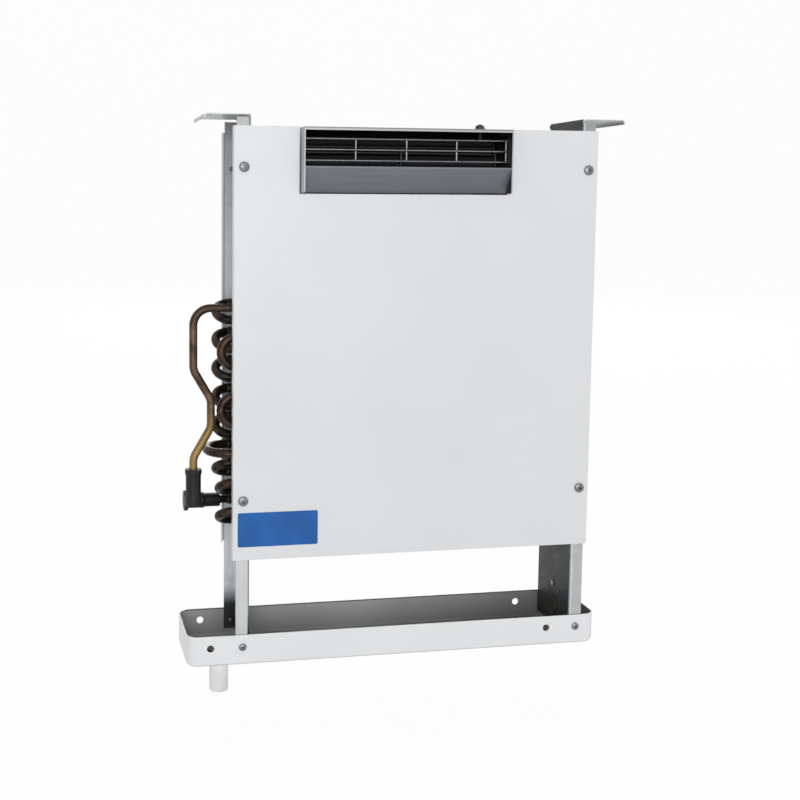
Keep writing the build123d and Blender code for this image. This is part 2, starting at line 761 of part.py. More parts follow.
def hood_bolt():
    """A screw hung through the hood's roof, with its hexagon nut on top."""
    roof_top = -housing_drop
    tip = roof_top + bolt_nut_height + bolt_end_show
    shank = rod_z(bolt_diameter / 2, roof_top - bolt_length, tip, bolt_x(), bolt_y())
    under = roof_top - housing_sheet
    head = rod_z(bolt_diameter, under - bolt_head_height, under, bolt_x(), bolt_y())
    save("hood_screw", shank + head)
    nut = extrude(RegularPolygon(bolt_nut_size / 2, 6, major_radius=False), bolt_nut_height)
    nut = Pos(bolt_x(), bolt_y(), roof_top) * nut
    nut -= rod_z(bolt_diameter / 2, roof_top - 1, roof_top + bolt_nut_height + 1, bolt_x(), bolt_y())
    save("hood_nut", nut)


def motor():
    """Shaded-pole motor: laminated frame, wound bobbin on its lower leg, two bearing brackets."""
    bore = rotor_diameter / 2 + air_gap
    half = stator_width / 2
    frame = block(stator_left, stator_right, wheel_axis_y - half, wheel_axis_y + half,
                  wheel_axis_z - stator_below, wheel_axis_z + stator_above)
    frame = fillet(frame.edges().filter_by(Axis.X), stator_corner)
    window_bottom = wheel_axis_z - stator_below + stator_leg
    frame -= block(stator_left - 1, stator_right + 1, wheel_axis_y - window_width / 2, wheel_axis_y + window_width / 2,
                   window_bottom, window_bottom + window_height)
    frame -= wheel_axis_bar(bore, stator_left - 1, stator_right + 1)
    for side in (-1, 1):
        y = wheel_axis_y + side * motor_screw_y
        frame -= rod_x(motor_screw_diameter / 2, stator_left - 1, stator_right + 1, y, wheel_axis_z)
    save("stator_frame", frame)
    leg_z = wheel_axis_z - stator_below
    bobbin = winding_block(bobbin_wall, winding_width / 2 + winding_cheek)
    bobbin -= block(stator_left, stator_right, -stator_width, stator_width, leg_z, leg_z + stator_leg)
    winding = winding_block(winding_wall, winding_width / 2)
    winding -= winding_block(bobbin_wall, winding_width)
    winding = fillet(winding.edges().filter_by(Axis.Y).group_by(Axis.X)[-1], winding_corner)
    save("winding_bobbin", bobbin)
    save("stator_winding", winding)
    near = side_right + motor_standoff
    save("left_motor_bracket", motor_bracket(stator_left, -1))
    save("right_motor_bracket", motor_bracket(stator_right, 1))
    spacers = []
    bolts = []
    far = stator_right + bracket_standoff + bracket_thickness
    for side in (-1, 1):
        y = wheel_axis_y + side * motor_screw_y
        tube = rod_x(motor_screw_diameter, side_right, near, y, wheel_axis_z)
        spacers.append(tube - rod_x(motor_screw_diameter / 2, side_right - 1, near + 1, y, wheel_axis_z))
        bolt = rod_x(motor_screw_diameter / 2, housing_right, far, y, wheel_axis_z)
        bolt += rod_x(motor_screw_diameter, far, far + motor_head_height, y, wheel_axis_z)
        bolts.append(bolt)
    save("motor_spacers", *spacers)
    save("motor_screws", *bolts)


def winding_block(wall, half_width):
    """A block that wraps the stator's lower leg by the given wall."""
    leg_z = wheel_axis_z - stator_below
    return block(stator_left - wall, stator_right + wall, wheel_axis_y - half_width, wheel_axis_y + half_width,
                 leg_z - wall, leg_z + stator_leg + wall)


def motor_bracket(face, outward):
    """A bearing bracket across the stator, on two feet, with a boss for the shaft."""
    half = stator_width / 2
    plate_in = face + outward * bracket_standoff
    plate_out = plate_in + outward * bracket_thickness
    z0 = wheel_axis_z - bracket_height / 2
    z1 = wheel_axis_z + bracket_height / 2
    x0, x1 = sorted((plate_in, plate_out))
    bracket = block(x0, x1, wheel_axis_y - half, wheel_axis_y + half, z0, z1)
    f0, f1 = sorted((face, plate_in))
    for side in (-1, 1):
        y = wheel_axis_y + side * motor_screw_y
        bracket += block(f0, f1, y - motor_screw_inset, y + motor_screw_inset, z0, z1)
    b0, b1 = sorted((plate_in, plate_in + outward * bearing_boss_length))
    bracket += wheel_axis_bar(bearing_boss_diameter / 2, b0, b1)
    bracket -= wheel_axis_bar(shaft_diameter / 2 + running_clearance, min(f0, b0) - 1, max(f1, b1) + 1)
    for side in (-1, 1):
        y = wheel_axis_y + side * motor_screw_y
        bracket -= rod_x(motor_screw_diameter / 2, min(f0, b0) - 1, max(f1, b1) + 1, y, wheel_axis_z)
    return bracket


def main():
    os.makedirs("parts", exist_ok=True)
    end_plates()
    web_grommet()
    web_rivet()
    coil_tubes()
    fins()
    pipes()
    panels()
    panel_label()
    screws()
    drip_tray()
    drain()
    fan_wheel()
    fan_shafts()
    left_bearing()
    housing_sides()
    scroll_sheet()
    tongue_sheet()
    outlet_grille()
    hood_bolt()
    motor()


if __name__ == "__main__":
    main()
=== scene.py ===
import math

import bmesh
import bpy
from bpy.props import FloatProperty, FloatVectorProperty, IntProperty, PointerProperty
from mathutils import Matrix, Vector


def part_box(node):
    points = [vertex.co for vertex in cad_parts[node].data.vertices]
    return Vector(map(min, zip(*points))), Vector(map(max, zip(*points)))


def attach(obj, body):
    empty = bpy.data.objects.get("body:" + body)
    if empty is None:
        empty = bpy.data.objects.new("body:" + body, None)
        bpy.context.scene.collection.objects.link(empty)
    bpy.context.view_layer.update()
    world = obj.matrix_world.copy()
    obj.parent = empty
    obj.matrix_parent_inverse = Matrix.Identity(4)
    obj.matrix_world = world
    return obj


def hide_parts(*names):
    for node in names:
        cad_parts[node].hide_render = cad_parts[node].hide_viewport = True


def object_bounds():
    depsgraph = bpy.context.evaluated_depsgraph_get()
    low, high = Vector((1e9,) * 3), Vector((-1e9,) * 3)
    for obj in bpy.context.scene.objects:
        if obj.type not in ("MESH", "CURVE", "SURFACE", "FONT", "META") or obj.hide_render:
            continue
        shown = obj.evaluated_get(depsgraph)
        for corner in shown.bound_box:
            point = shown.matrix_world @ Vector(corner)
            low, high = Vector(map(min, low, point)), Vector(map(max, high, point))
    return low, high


bl_info = {
    "name": "Counter evaporator",
    "version": (1, 0, 0),
    "blender": (4, 5, 0),
    "location": "3D View > Sidebar > Evaporator",
    "description": "Dresses the packed frame of a counter evaporator with its finishes and fine pieces",
    "category": "Object",
}

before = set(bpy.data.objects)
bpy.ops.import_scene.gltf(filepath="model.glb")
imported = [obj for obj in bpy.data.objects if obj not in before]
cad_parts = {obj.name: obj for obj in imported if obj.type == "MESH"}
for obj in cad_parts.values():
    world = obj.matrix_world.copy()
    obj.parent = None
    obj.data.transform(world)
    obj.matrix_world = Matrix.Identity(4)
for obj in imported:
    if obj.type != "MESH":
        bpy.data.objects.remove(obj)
cad_low, cad_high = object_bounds()

MM = 0.001
FINISH = "_finish"
FIXED = "frame"
SPINNING = "fan_impeller"
SHEET = 1.0 * MM  # sheet of the end plates, the tray and the side plates
SKIN = 0.2 * MM  # how far a face may lie from its nominal place
NOISE_RANGE = (0.3, 0.7)  # the middle part of a noise, where nearly all its values lie
BEND_SHARE = 0.998  # bend radius as a share of half the distance between two tubes
UNTURNED = Matrix.Identity(4)


def low(node):
    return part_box(node)[0]


def high(node):
    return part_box(node)[1]


def middle(node):
    return (low(node) + high(node)) / 2


def size(node):
    return high(node) - low(node)


# Values a user may change

def length(name, description, millimetres):
    return FloatProperty(name=name, description=description, default=millimetres * MM, unit="LENGTH", precision=5)


def number(name, description, value, unit="NONE"):
    return FloatProperty(name=name, description=description, default=value, unit=unit)


def count(name, description, value):
    return IntProperty(name=name, description=description, default=value)


def tint(name, description, red, green, blue):
    return FloatVectorProperty(name=name, description=description, default=(red, green, blue, 1.0), size=4,
                               subtype="COLOR", min=0.0, max=1.0)


class EvaporatorFinishes(bpy.types.PropertyGroup):
    """Colours of the finishes"""
    paint: tint("Panel paint", "Satin paint of the front and rear panels", 0.735, 0.75, 0.765)
    hood: tint("Hood sheet", "Pale sheet of the fan hood", 0.43, 0.44, 0.455)
    # Painted shade: the near-black tone inside the fan hood stands in for the shade there.
    hood_inside_shade: tint("Hood inside", "Dull inside of the fan hood", 0.028, 0.029, 0.031)
    # Painted shade: the lip's dark tone stands in for the shade on its face, which looks down and forward.
    lip: tint("Hood lip", "Bluish grey sloping lip under the outlet", 0.15, 0.16, 0.18)
    tray: tint("Tray paint", "Paint outside the drip tray", 0.80, 0.812, 0.822)
    tray_inside: tint("Tray inside", "Bare sheet inside the drip tray", 0.42, 0.425, 0.43)
    zinc: tint("Galvanised sheet", "Zinc coat of the end plates", 0.56, 0.575, 0.585)
    # Painted shade: this dark tone for the end plates' webs stands in for the shade and dark reflections between the
    # plates.
    zinc_web_shade: tint("Galvanised web", "Duller zinc on the webs of the end plates", 0.052, 0.055, 0.058)
    copper_dark: tint("Dark tarnish", "Deepest tarnish of the copper tubes", 0.008, 0.006, 0.005)
    copper_warm: tint("Warm tarnish", "Brown tarnish of the copper tubes", 0.055, 0.034, 0.021)
    copper_gold: tint("Golden copper", "Rubbed golden places on the copper", 0.25, 0.162, 0.055)
    label: tint("Label", "Plain blue label", 0.010, 0.108, 0.38)
    rubber: tint("Rubber", "Black moulded rubber", 0.007, 0.0072, 0.008)
    fins: tint("Fin foil", "Aluminium foil of the fins", 0.62, 0.63, 0.65)
    plastic: tint("Drain plastic", "White plastic of the drain spigot", 0.80, 0.80, 0.80)


class EvaporatorCoil(bpy.types.PropertyGroup):
    """Sizes of the coil"""
    tube_rows: count("Tube rows", "Rows of tubes from front to back", 3)
    tubes_high: count("Tubes in a row", "Tubes one above another in each row", 8)
    tube_diameter: length("Tube diameter", "Outside diameter of a coil tube", 7.94)
    return_lead: length("Return lead", "Straight tube between the left plate and a bend", 10.5)
    hairpin_lead: length("Hairpin lead", "Straight tube between the right plate and a bend", 4.0)
    socket_diameter: length("Socket diameter", "Widened tube end that takes a return bend", 9.0)
    socket_length: length("Socket length", "Length of the widened tube end", 6.0)
    fin_count: count("Fins", "Fins between the end plates", 72)
    fin_thickness: length("Fin thickness", "Thickness of the fin foil", 0.15)


class EvaporatorPipes(bpy.types.PropertyGroup):
    """Sizes of the two connecting pipes"""
    diameter: length("Pipe diameter", "Outside diameter of both pipes", 7.0)
    wall: length("Pipe wall", "Wall of both pipes", 0.8)
    bend_radius: length("Bend radius", "Radius of the pipe's bends", 15.0)
    jog: length("Jog", "How far the outlet pipe is jogged towards the plate", 15.2)
    jog_drop: length("Upper run", "Height from the outlet tube down to the jog", 53.0)
    jog_slope: length("Jog height", "Height of each sloping part of the jog", 26.0)
    jog_straight: length("Middle run", "Straight part between the sloping ones", 24.0)


class EvaporatorFan(bpy.types.PropertyGroup):
    """Sizes of the fan wheel, its grille and the motor's winding"""
    blades: count("Blades", "Blades of the fan wheel", 22)
    blade_depth: length("Blade depth", "Blade from its outer to its inner edge", 6.0)
    blade_thickness: length("Blade thickness", "Sheet of a blade", 0.5)
    blade_camber: length("Blade camber", "Rise of the blade's curve", 1.2)
    disc: length("Disc thickness", "Thickness of the wheel's end discs", 1.5)
    rings: count("Rings", "Stiffening rings between the discs", 1)
    wire: length("Grille wire", "Diameter of the grille's wires", 1.8)
    winding_wire: length("Winding wire", "Diameter of the motor's enamelled wire", 0.9)


class EvaporatorScrews(bpy.types.PropertyGroup):
    """Sizes of the pan-head screws"""
    shank_diameter: length("Shank diameter", "Diameter of the thread", 3.9)
    grip: length("Shank length", "Length under the head", 7.0)
    recess: number("Recess", "Reach of the cross recess, as a share of the head", 0.5)


class EvaporatorStage(bpy.types.PropertyGroup):
    """Camera, lamps and floor"""
    camera_place: FloatVectorProperty(name="Camera", description="Place of the camera", subtype="TRANSLATION",
                                      default=(-0.3167, -1.0086, -0.0741), unit="LENGTH")
    camera_turn: number("Turn", "Camera's turn to the right", 0.1797, "ROTATION")
    camera_tilt: number("Tilt", "Camera's tilt downwards", 0.0932, "ROTATION")
    camera_roll: number("Roll", "Camera's roll", -0.0048, "ROTATION")
    lens: number("Lens", "Focal length on a 36 mm sensor", 52.73, "CAMERA")
    shift_x: number("Shift X", "Sideways shift of the lens", 0.175)
    shift_y: number("Shift Y", "Upward shift of the lens", -0.11)
    key_power: number("Key lamp", "Power of the large front lamp", 99.0, "POWER")
    fill_power: number("Fill lamp", "Power of the lamp from behind", 62.0, "POWER")
    ambient: number("Ambient", "Even light from all round", 0.50)


GROUPS = {
    "evaporator_finishes": EvaporatorFinishes,
    "evaporator_coil": EvaporatorCoil,
    "evaporator_pipes": EvaporatorPipes,
    "evaporator_fan": EvaporatorFan,
    "evaporator_screws": EvaporatorScrews,
    "evaporator_stage": EvaporatorStage,
}


def settings(name):
    return getattr(bpy.context.scene, "evaporator_" + name)


# Node helpers, for shaders and for shapes

def add(tree, kind, inputs=None, **options):
    """Add a node. An input is a value or the socket that feeds it."""
    made = tree.nodes.new(kind)
    for name, value in options.items():
        setattr(made, name, value)
    for name, value in (inputs or {}).items():
        if isinstance(value, bpy.types.NodeSocket):
            tree.links.new(value, made.inputs[name])
        else:
            made.inputs[name].default_value = value
    return made


def out(tree, kind, inputs=None, **options):
    """Add a node and return its first output."""
    return add(tree, kind, inputs, **options).outputs[0]


def math_of(tree, operation, first, second=0.0):
    return out(tree, "ShaderNodeMath", {0: first, 1: second}, operation=operation)


def vector_of(tree, operation, first, second=(0, 0, 0), output=0):
    return add(tree, "ShaderNodeVectorMath", {0: first, 1: second}, operation=operation).outputs[output]


def product(tree, *factors):
    """All the factors multiplied."""
    whole = factors[0]
    for factor in factors[1:]:
        whole = math_of(tree, "MULTIPLY", whole, factor)
    return whole


def above(tree, value, limit):
    return math_of(tree, "GREATER_THAN", value, limit)


def below(tree, value, limit):
    return math_of(tree, "LESS_THAN", value, limit)


def between(tree, value, start, end):
    """1 from start to end, 0 outside."""
    return product(tree, above(tree, value, start), below(tree, value, end))


def here(tree, scale=(1, 1, 1)):
    """Place on the piece in metres, stretched by a scale."""
    place = add(tree, "ShaderNodeTexCoord").outputs["Object"]
    return out(tree, "ShaderNodeMapping", {"Vector": place, "Scale": scale})


def axes(tree):
    """Place on the piece along X, Y and Z."""
    return add(tree, "ShaderNodeSeparateXYZ", {0: here(tree)}).outputs


def noise(tree, scale, detail=3.0, stretch=(1, 1, 1), roughness=0.55):
    inputs = {"Vector": here(tree, stretch), "Scale": scale, "Detail": detail, "Roughness": roughness}
    return out(tree, "ShaderNodeTexNoise", inputs)


def spread(tree, value, start, end, to_start=0.0, to_end=1.0):
    inputs = {"Value": value, "From Min": start, "From Max": end, "To Min": to_start, "To Max": to_end}
    return out(tree, "ShaderNodeMapRange", inputs)


def where(tree, mask, factor):
    """The factor where the mask is 1, and 1 elsewhere."""
    return spread(tree, mask, 0.0, 1.0, 1.0, factor)


def mix(tree, factor, first, second, blend="MIX"):
    inputs = {0: factor, 6: first, 7: second}
    return add(tree, "ShaderNodeMix", inputs, data_type="RGBA", blend_type=blend).outputs[2]


def tone(colour, factor):
    """The same colour, lighter or darker."""
    return (*[min(1.0, channel * factor) for channel in colour[:3]], 1.0)


def shaded(tree, colour, factor):
    """The colour times a factor that changes over the piece."""
    grey = out(tree, "ShaderNodeCombineColor", {0: factor, 1: factor, 2: factor})
    return mix(tree, 1.0, colour, grey, "MULTIPLY")


def bump(tree, height, distance, strength=1.0):
    return out(tree, "ShaderNodeBump", {"Height": height, "Distance": distance, "Strength": strength})


def uneven(start, end, scale, detail=3.0, stretch=(1, 1, 1)):
    """Builds a value that wanders between two ends over the piece."""
    return lambda tree: spread(tree, noise(tree, scale, detail, stretch), *NOISE_RANGE, start, end)


def mottled(colour, darker, lighter, scale, detail=3.0, stretch=(1, 1, 1)):
    """Builds a colour that wanders between a darker and a lighter tone of itself."""
    cloud = uneven(0.0, 1.0, scale, detail, stretch)
    return lambda tree: mix(tree, cloud(tree), tone(colour, darker), tone(colour, lighter))


def grained(scale, distance, strength, detail=3.0, stretch=(1, 1, 1)):
    """Builds a fine relief."""
    return lambda tree: bump(tree, noise(tree, scale, detail, stretch), distance, strength)


def finish_of(name):
    return bpy.data.materials[name + FINISH]


def dress(mesh, *finishes):
    mesh.materials.clear()
    for finish in finishes:
        mesh.materials.append(finish_of(finish))


def material(name, colour, roughness, normal, **sockets):
    """A named material on the principled shader. Its colour, roughness and normal are built on its tree."""
    made = bpy.data.materials.new(name + FINISH)
    made.use_nodes = True
    tree = made.node_tree
    shader = tree.nodes["Principled BSDF"]
    for socket, value in sockets.items():
        shader.inputs[socket.replace("_", " ")].default_value = value
    for socket, build in (("Base Color", colour), ("Roughness", roughness), ("Normal", normal)):
        tree.links.new(build(tree), shader.inputs[socket])
    return made


SOCKET_KINDS = {
    float: "NodeSocketFloat",
    int: "NodeSocketInt",
    Vector: "NodeSocketVector",
    bpy.types.Material: "NodeSocketMaterial",
    bpy.types.Object: "NodeSocketObject",
}


def along(tree, axis, value):
    """A vector with one value on the axis 0, 1 or 2."""
    return out(tree, "ShaderNodeCombineXYZ", {axis: value})


def together(tree, first, second):
    """Two geometries as one."""
    made = add(tree, "GeometryNodeJoinGeometry", {0: first})
    tree.links.new(second, made.inputs[0])
    return made.outputs[0]


def thicken(tree, flat, offset):
    """Flat faces drawn out along an offset into closed solids."""
    drawn = out(tree, "GeometryNodeExtrudeMesh",
                {"Mesh": flat, "Offset": offset, "Offset Scale": 1.0, "Individual": False})
    back = out(tree, "GeometryNodeFlipFaces", {"Mesh": flat})
    whole = {"Geometry": together(tree, drawn, back), "Distance": 0.01 * MM}
    return out(tree, "GeometryNodeMergeByDistance", whole)


def instances(tree, points, piece, rotation=(0, 0, 0)):
    """A piece on every point."""
    inputs = {"Points": points, "Instance": piece, "Rotation": rotation}
    return out(tree, "GeometryNodeInstanceOnPoints", inputs)


def swept(tree, lines, steps, bend_radius, sides, radius, ends=False):
    """Round tubes along lines whose corners are rounded. Lines with ends get caps, and bends that fit them."""
    curve = out(tree, "GeometryNodeMeshToCurve", {"Mesh": lines})
    bends = {"Curve": curve, "Count": steps, "Radius": bend_radius, "Limit Radius": ends}
    rounded = out(tree, "GeometryNodeFilletCurve", bends, mode="POLY")
    circle = out(tree, "GeometryNodeCurvePrimitiveCircle", {"Resolution": sides, "Radius": radius})
    tube = {"Curve": rounded, "Profile Curve": circle, "Fill Caps": ends}
    return out(tree, "GeometryNodeCurveToMesh", tube)


def grow(name, build, values, finish, points, edges=(), faces=(), directions=None):
    """Let a node tree with the values as its inputs grow on a guide of points, edges and faces. What it builds is
    realized, given the finish and returned as a plain mesh."""
    values = {**values, "Finish": finish_of(finish)}
    tree = bpy.data.node_groups.new(name, "GeometryNodeTree")
    for direction in ("INPUT", "OUTPUT"):
        tree.interface.new_socket("Geometry", in_out=direction, socket_type="NodeSocketGeometry")
    for label, value in values.items():
        tree.interface.new_socket(label, in_out="INPUT", socket_type=SOCKET_KINDS[type(value)])
    given = tree.nodes.new("NodeGroupInput").outputs
    whole = out(tree, "GeometryNodeRealizeInstances", {"Geometry": build(tree, given)})
    dressed = out(tree, "GeometryNodeSetMaterial", {"Geometry": whole, "Material": given["Finish"]})
    tree.links.new(dressed, tree.nodes.new("NodeGroupOutput").inputs[0])
    guide = bpy.data.meshes.new(name + "_guide")
    guide.from_pydata(points, edges, faces)
    if directions:
        facing = guide.attributes.new("facing", "FLOAT_VECTOR", "POINT")
        for item, direction in zip(facing.data, directions):
            item.vector = direction
    worker = bpy.data.objects.new(name + "_worker", guide)
    modifier = worker.modifiers.new("Shape", "NODES")
    modifier.node_group = tree
    for item in tree.interface.items_tree:
        if item.name in values:
            modifier[item.identifier] = values[item.name]
    bpy.context.scene.collection.objects.link(worker)
    graph = bpy.context.evaluated_depsgraph_get()
    mesh = bpy.data.meshes.new_from_object(worker.evaluated_get(graph), depsgraph=graph)
    bpy.data.objects.remove(worker)
    bpy.data.meshes.remove(guide)
    if not mesh.polygons:
        raise RuntimeError(f"{name} came out empty")
    return mesh


def place_piece(name, mesh, body, stands_for=(), smooth_angle=35.0, finish=None):
    """Show a finished mesh as a piece that rides on a body."""
    if finish:
        dress(mesh, finish)
    mesh.name = name
    mesh.shade_smooth()
    mesh.set_sharp_from_angle(angle=math.radians(smooth_angle))
    piece = bpy.data.objects.new(name, mesh)
    bpy.context.scene.collection.objects.link(piece)
    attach(piece, body)
    if stands_for:
        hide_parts(*stands_for)


# Shapes made point by point

def soften(corners, radius, steps=4, closed=False):
    """Round the corners of an outline: each gives way to a short curve that starts a radius before it."""
    points = [Vector(corner) for corner in corners]
    rounded = []
    for index, point in enumerate(points):
        if not closed and index in (0, len(points) - 1):
            rounded.append(point)
            continue
        ways = [points[index - 1] - point, points[(index + 1) % len(points)] - point]
        start, end = [point + way.normalized() * min(radius, way.length * 0.49) for way in ways]
        for step in range(steps + 1):
            share = step / steps
            rounded.append(start * (1 - share) ** 2 + point * 2 * share * (1 - share) + end * share ** 2)
    return rounded


def rectangle(left, bottom, right, top):
    return [(left, bottom), (right, bottom), (right, top), (left, top)]


def as_mesh(shape):
    mesh = bpy.data.meshes.new("shape")
    shape.to_mesh(mesh)
    shape.free()
    return mesh


def ring(reach, height, segments):
    """Points round the Z axis. Their reach is a length, or a function of the turn."""
    turns = [2 * math.pi * index / segments for index in range(segments)]
    reaches = [reach(turn) if callable(reach) else reach for turn in turns]
    return [(r * math.cos(turn), r * math.sin(turn), height) for r, turn in zip(reaches, turns)]


def skin(rings, place=UNTURNED, closed=False, capped=False):
    """A skin over rings of points. A closed one joins the last ring with the first, and a capped one has ends."""
    shape = bmesh.new()
    rows = [[shape.verts.new(point) for point in points] for points in rings]
    for first, second in zip(rows, rows[1:] + rows[:1] * closed):
        for index in range(max(len(first), len(second))):
            corners = [first[index % len(first)], first[(index + 1) % len(first)],
                       second[(index + 1) % len(second)], second[index % len(second)]]
            shape.faces.new(list(dict.fromkeys(corners)))
    if capped:
        shape.faces.new(rows[0][::-1])
        shape.faces.new(rows[-1])
    bmesh.ops.recalc_face_normals(shape, faces=shape.faces)
    shape.transform(place)
    return as_mesh(shape)


def turned(profile, place=UNTURNED, segments=48, hollow=False):
    """A turned piece: (radius, height) pairs from one end to the other, round the place's own Z."""
    rings = [ring(radius, height, segments) if radius > 1e-7 else [(0, 0, height)] for radius, height in profile]
    return skin(rings, place, hollow)


def rounded_ring(corners, rounding, place=UNTURNED, segments=48):
    """A turned ring whose section has rounded corners."""
    return turned(soften(corners, rounding, 3, True), place, segments, True)


def looking(direction, origin):
    """A place whose Z looks along a direction."""
    turn = Vector(direction).to_track_quat("Z", "Y").to_matrix().to_4x4()
    return Matrix.Translation(origin) @ turn


def joined(*meshes):
    """Several meshes as one."""
    shape = bmesh.new()
    for mesh in meshes:
        shape.from_mesh(mesh)
    return as_mesh(shape)


def threaded_rod(radius, depth, pitch, rod_length, place, segments=20, steps=6):
    """A rod with a thread that winds round it, closed at both ends."""
    def level(height):
        phase = 2 * math.pi * height / pitch
        return ring(lambda turn: radius - depth * (0.5 + 0.5 * math.cos(phase - turn)), height, segments)

    rows = round(rod_length / pitch * steps)
    return skin([level(rod_length * row / rows) for row in range(rows + 1)], place, capped=True)


# Finishes

def painted(name, colour, roughness=0.36):
    """Satin paint: a fine orange peel, and a colour that drifts a little over the sheet."""
    return material(
        name, mottled(colour, 0.975, 1.012, 9.0, 2.0), uneven(roughness - 0.05, roughness + 0.06, 55.0),
        grained(1100.0, 0.00003, 0.35, 2.0), Coat_Weight=0.12, Coat_Roughness=0.22,
    )


def rolled_lines(tree):
    """Fine upright lines that the rolls left in the sheet."""
    return noise(tree, 260.0, 3.0, (1.0, 1.0, 0.03), 0.6)


def spangle(tree):
    """The grey patches of a zinc coat, one value for each crystal."""
    wander = add(tree, "ShaderNodeTexNoise", {"Vector": here(tree), "Scale": 60.0, "Detail": 2.0}).outputs["Color"]
    place = vector_of(tree, "ADD", here(tree), vector_of(tree, "MULTIPLY", wander, (0.006, 0.006, 0.006)))
    cells = add(tree, "ShaderNodeTexVoronoi", {"Vector": place, "Scale": 130.0}).outputs["Color"]
    return out(tree, "ShaderNodeSeparateColor", {0: cells})


def galvanised(name, bright, web_shade):
    """Zinc-coated sheet: faint spangle and rolled lines, with painted light and shade: painted shade that darkens both
    webs, the whole right plate a little, the posts under the ears and the left plate's inner faces where it stands in
    the tray; on the left plate's rear flange painted shade under the ear and painted light lower down; and a painted
    highlight along the right plate's bends next to its web."""
    plate_low, plate_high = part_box("right_end_plate")
    web = plate_low.x
    bend = 2.0 * MM
    flange = 12.0 * MM
    tray_top = high("drip_tray").z

    def patches(tree, x, y, z, inner):
        """Painted light and shade: how much each place is darkened or lightened, next to the plain flanges."""
        left = below(tree, x, 0.0)
        rear_flange = product(tree, between(tree, y, plate_high.y - SHEET - SKIN, plate_high.y - SKIN),
                              below(tree, x, -web - SHEET))
        post_top = product(tree, between(tree, x, -web - flange, web + flange), spread(tree, z, -0.022, -0.006),
                           below(tree, z, -SHEET - SKIN))
        return product(
            tree,
            # Left rear flange's inner face: painted shade under the ear, painted light lower down.
            where(tree, rear_flange, spread(tree, z, -0.03, -0.20, 0.85, 1.6)),
            # Left plate's inner faces: painted shade where they stand in the tray.
            where(tree, product(tree, left, inner), spread(tree, z, tray_top + 0.004, tray_top + 0.020, 0.06, 1.0)),
            # Painted shade over the whole right plate.
            spread(tree, left, 0.0, 1.0, 0.84, 1.0),
            # Painted highlight along the right plate's bends next to its web.
            where(tree, between(tree, x, web + SKIN, web + bend), 1.4),
            # Painted shade on the posts under the ears.
            where(tree, post_top, 0.68),
        )

    def colour(tree):
        x, y, z = axes(tree)
        across = math_of(tree, "ABSOLUTE", x)
        inner = between(tree, y, plate_low.y + SKIN, plate_high.y - SKIN)
        inside = product(tree, inner, below(tree, across, web + SKIN))
        outside = product(tree, inner, between(tree, across, web + SKIN, web + SHEET + SKIN))
        # Besides spangle and rolled lines, this factor carries the painted light and shade of the plates.
        grain = product(
            tree,
            spread(tree, spangle(tree), 0.0, 1.0, 0.94, 1.04),
            uneven(0.93, 1.05, 14.0)(tree),
            spread(tree, rolled_lines(tree), *NOISE_RANGE, 0.95, 1.04),
            patches(tree, x, y, z, inner),
        )
        # Painted shade: the webs take the dark web tone, the inner faces darkest and the outer faces five times
        # lighter.
        return shaded(tree, mix(tree, inside, mix(tree, outside, bright, tone(web_shade, 5.0)), web_shade), grain)

    return material(
        name, colour, lambda tree: spread(tree, spangle(tree), 0.0, 1.0, 0.44, 0.54),
        lambda tree: bump(tree, rolled_lines(tree), 0.00004, 0.4), Metallic=0.4,
    )


def tarnished(name, dark, warm, gold, golden_share):
    """Copper that has gone brown and black, with golden places where it was rubbed."""
    def colour(tree):
        cloud = spread(tree, noise(tree, 70.0, 5.0), 0.38, 0.62)
        rubbed = spread(tree, noise(tree, 160.0, 4.0), 0.66 - golden_share, 0.84 - golden_share, 0.0, 0.55)
        return mix(tree, rubbed, mix(tree, cloud, dark, warm), gold)

    return material(name, colour, uneven(0.26, 0.50, 120.0, 4.0), grained(420.0, 0.00008, 0.5, 4.0), Metallic=0.8)


def pipe_copper(name, warm, gold):
    """The outlet pipe: brown copper, darker at its top, that turns to gold towards its cap."""
    foot, top = low("outlet_pipe").z, high("outlet_pipe").z

    def colour(tree):
        height = axes(tree)[2]
        wavy = math_of(tree, "ADD", height, spread(tree, noise(tree, 60.0), 0.2, 0.8, -0.012, 0.012))
        cloud = spread(tree, noise(tree, 90.0, 5.0), 0.36, 0.64)
        brown = mix(tree, cloud, tone(warm, 0.85), tone(warm, 2.7))
        brown = mix(tree, spread(tree, height, top - 0.03, top), brown, tone(warm, 0.7))
        return mix(tree, spread(tree, wavy, foot + 0.085, foot + 0.045), brown, gold)

    return material(name, colour, uneven(0.30, 0.46, 140.0, 4.0), grained(500.0, 0.00006, 0.4), Metallic=0.75)


def hood_sheet(name, outside, inside):
    """Sheet of the fan housing: pale on its front edges and outside, with painted shade that makes it dark inside and a
    painted shadow line at the roof's bend.
    """
    left = high("left_side_plate").x - 0.1 * MM
    right = low("right_side_plate").x + 0.1 * MM
    roof = high("scroll_sheet").z - SKIN
    front = low("scroll_sheet").y + 0.4 * MM
    cloud = (30.0, 4.0, (0.3, 1, 1))

    def colour(tree):
        x, y, z = axes(tree)
        within = product(tree, between(tree, x, left, right), below(tree, z, roof), above(tree, y, front))
        # Painted shadow line along the roof's front bend.
        roof_bend_shadow = product(tree, above(tree, z, roof - 0.9 * MM), below(tree, y, front))
        pale = mix(tree, roof_bend_shadow, mottled(outside, 0.95, 1.04, *cloud)(tree), tone(outside, 0.5))
        # Inside the hood: painted shade from the inside tone.
        return mix(tree, within, pale, mottled(inside, 0.85, 1.12, *cloud)(tree))

    return material(
        name, colour, uneven(0.36, 0.48, 70.0), grained(380.0, 0.00004, 0.4, 3.0, (0.05, 1, 1)), Metallic=0.3,
    )


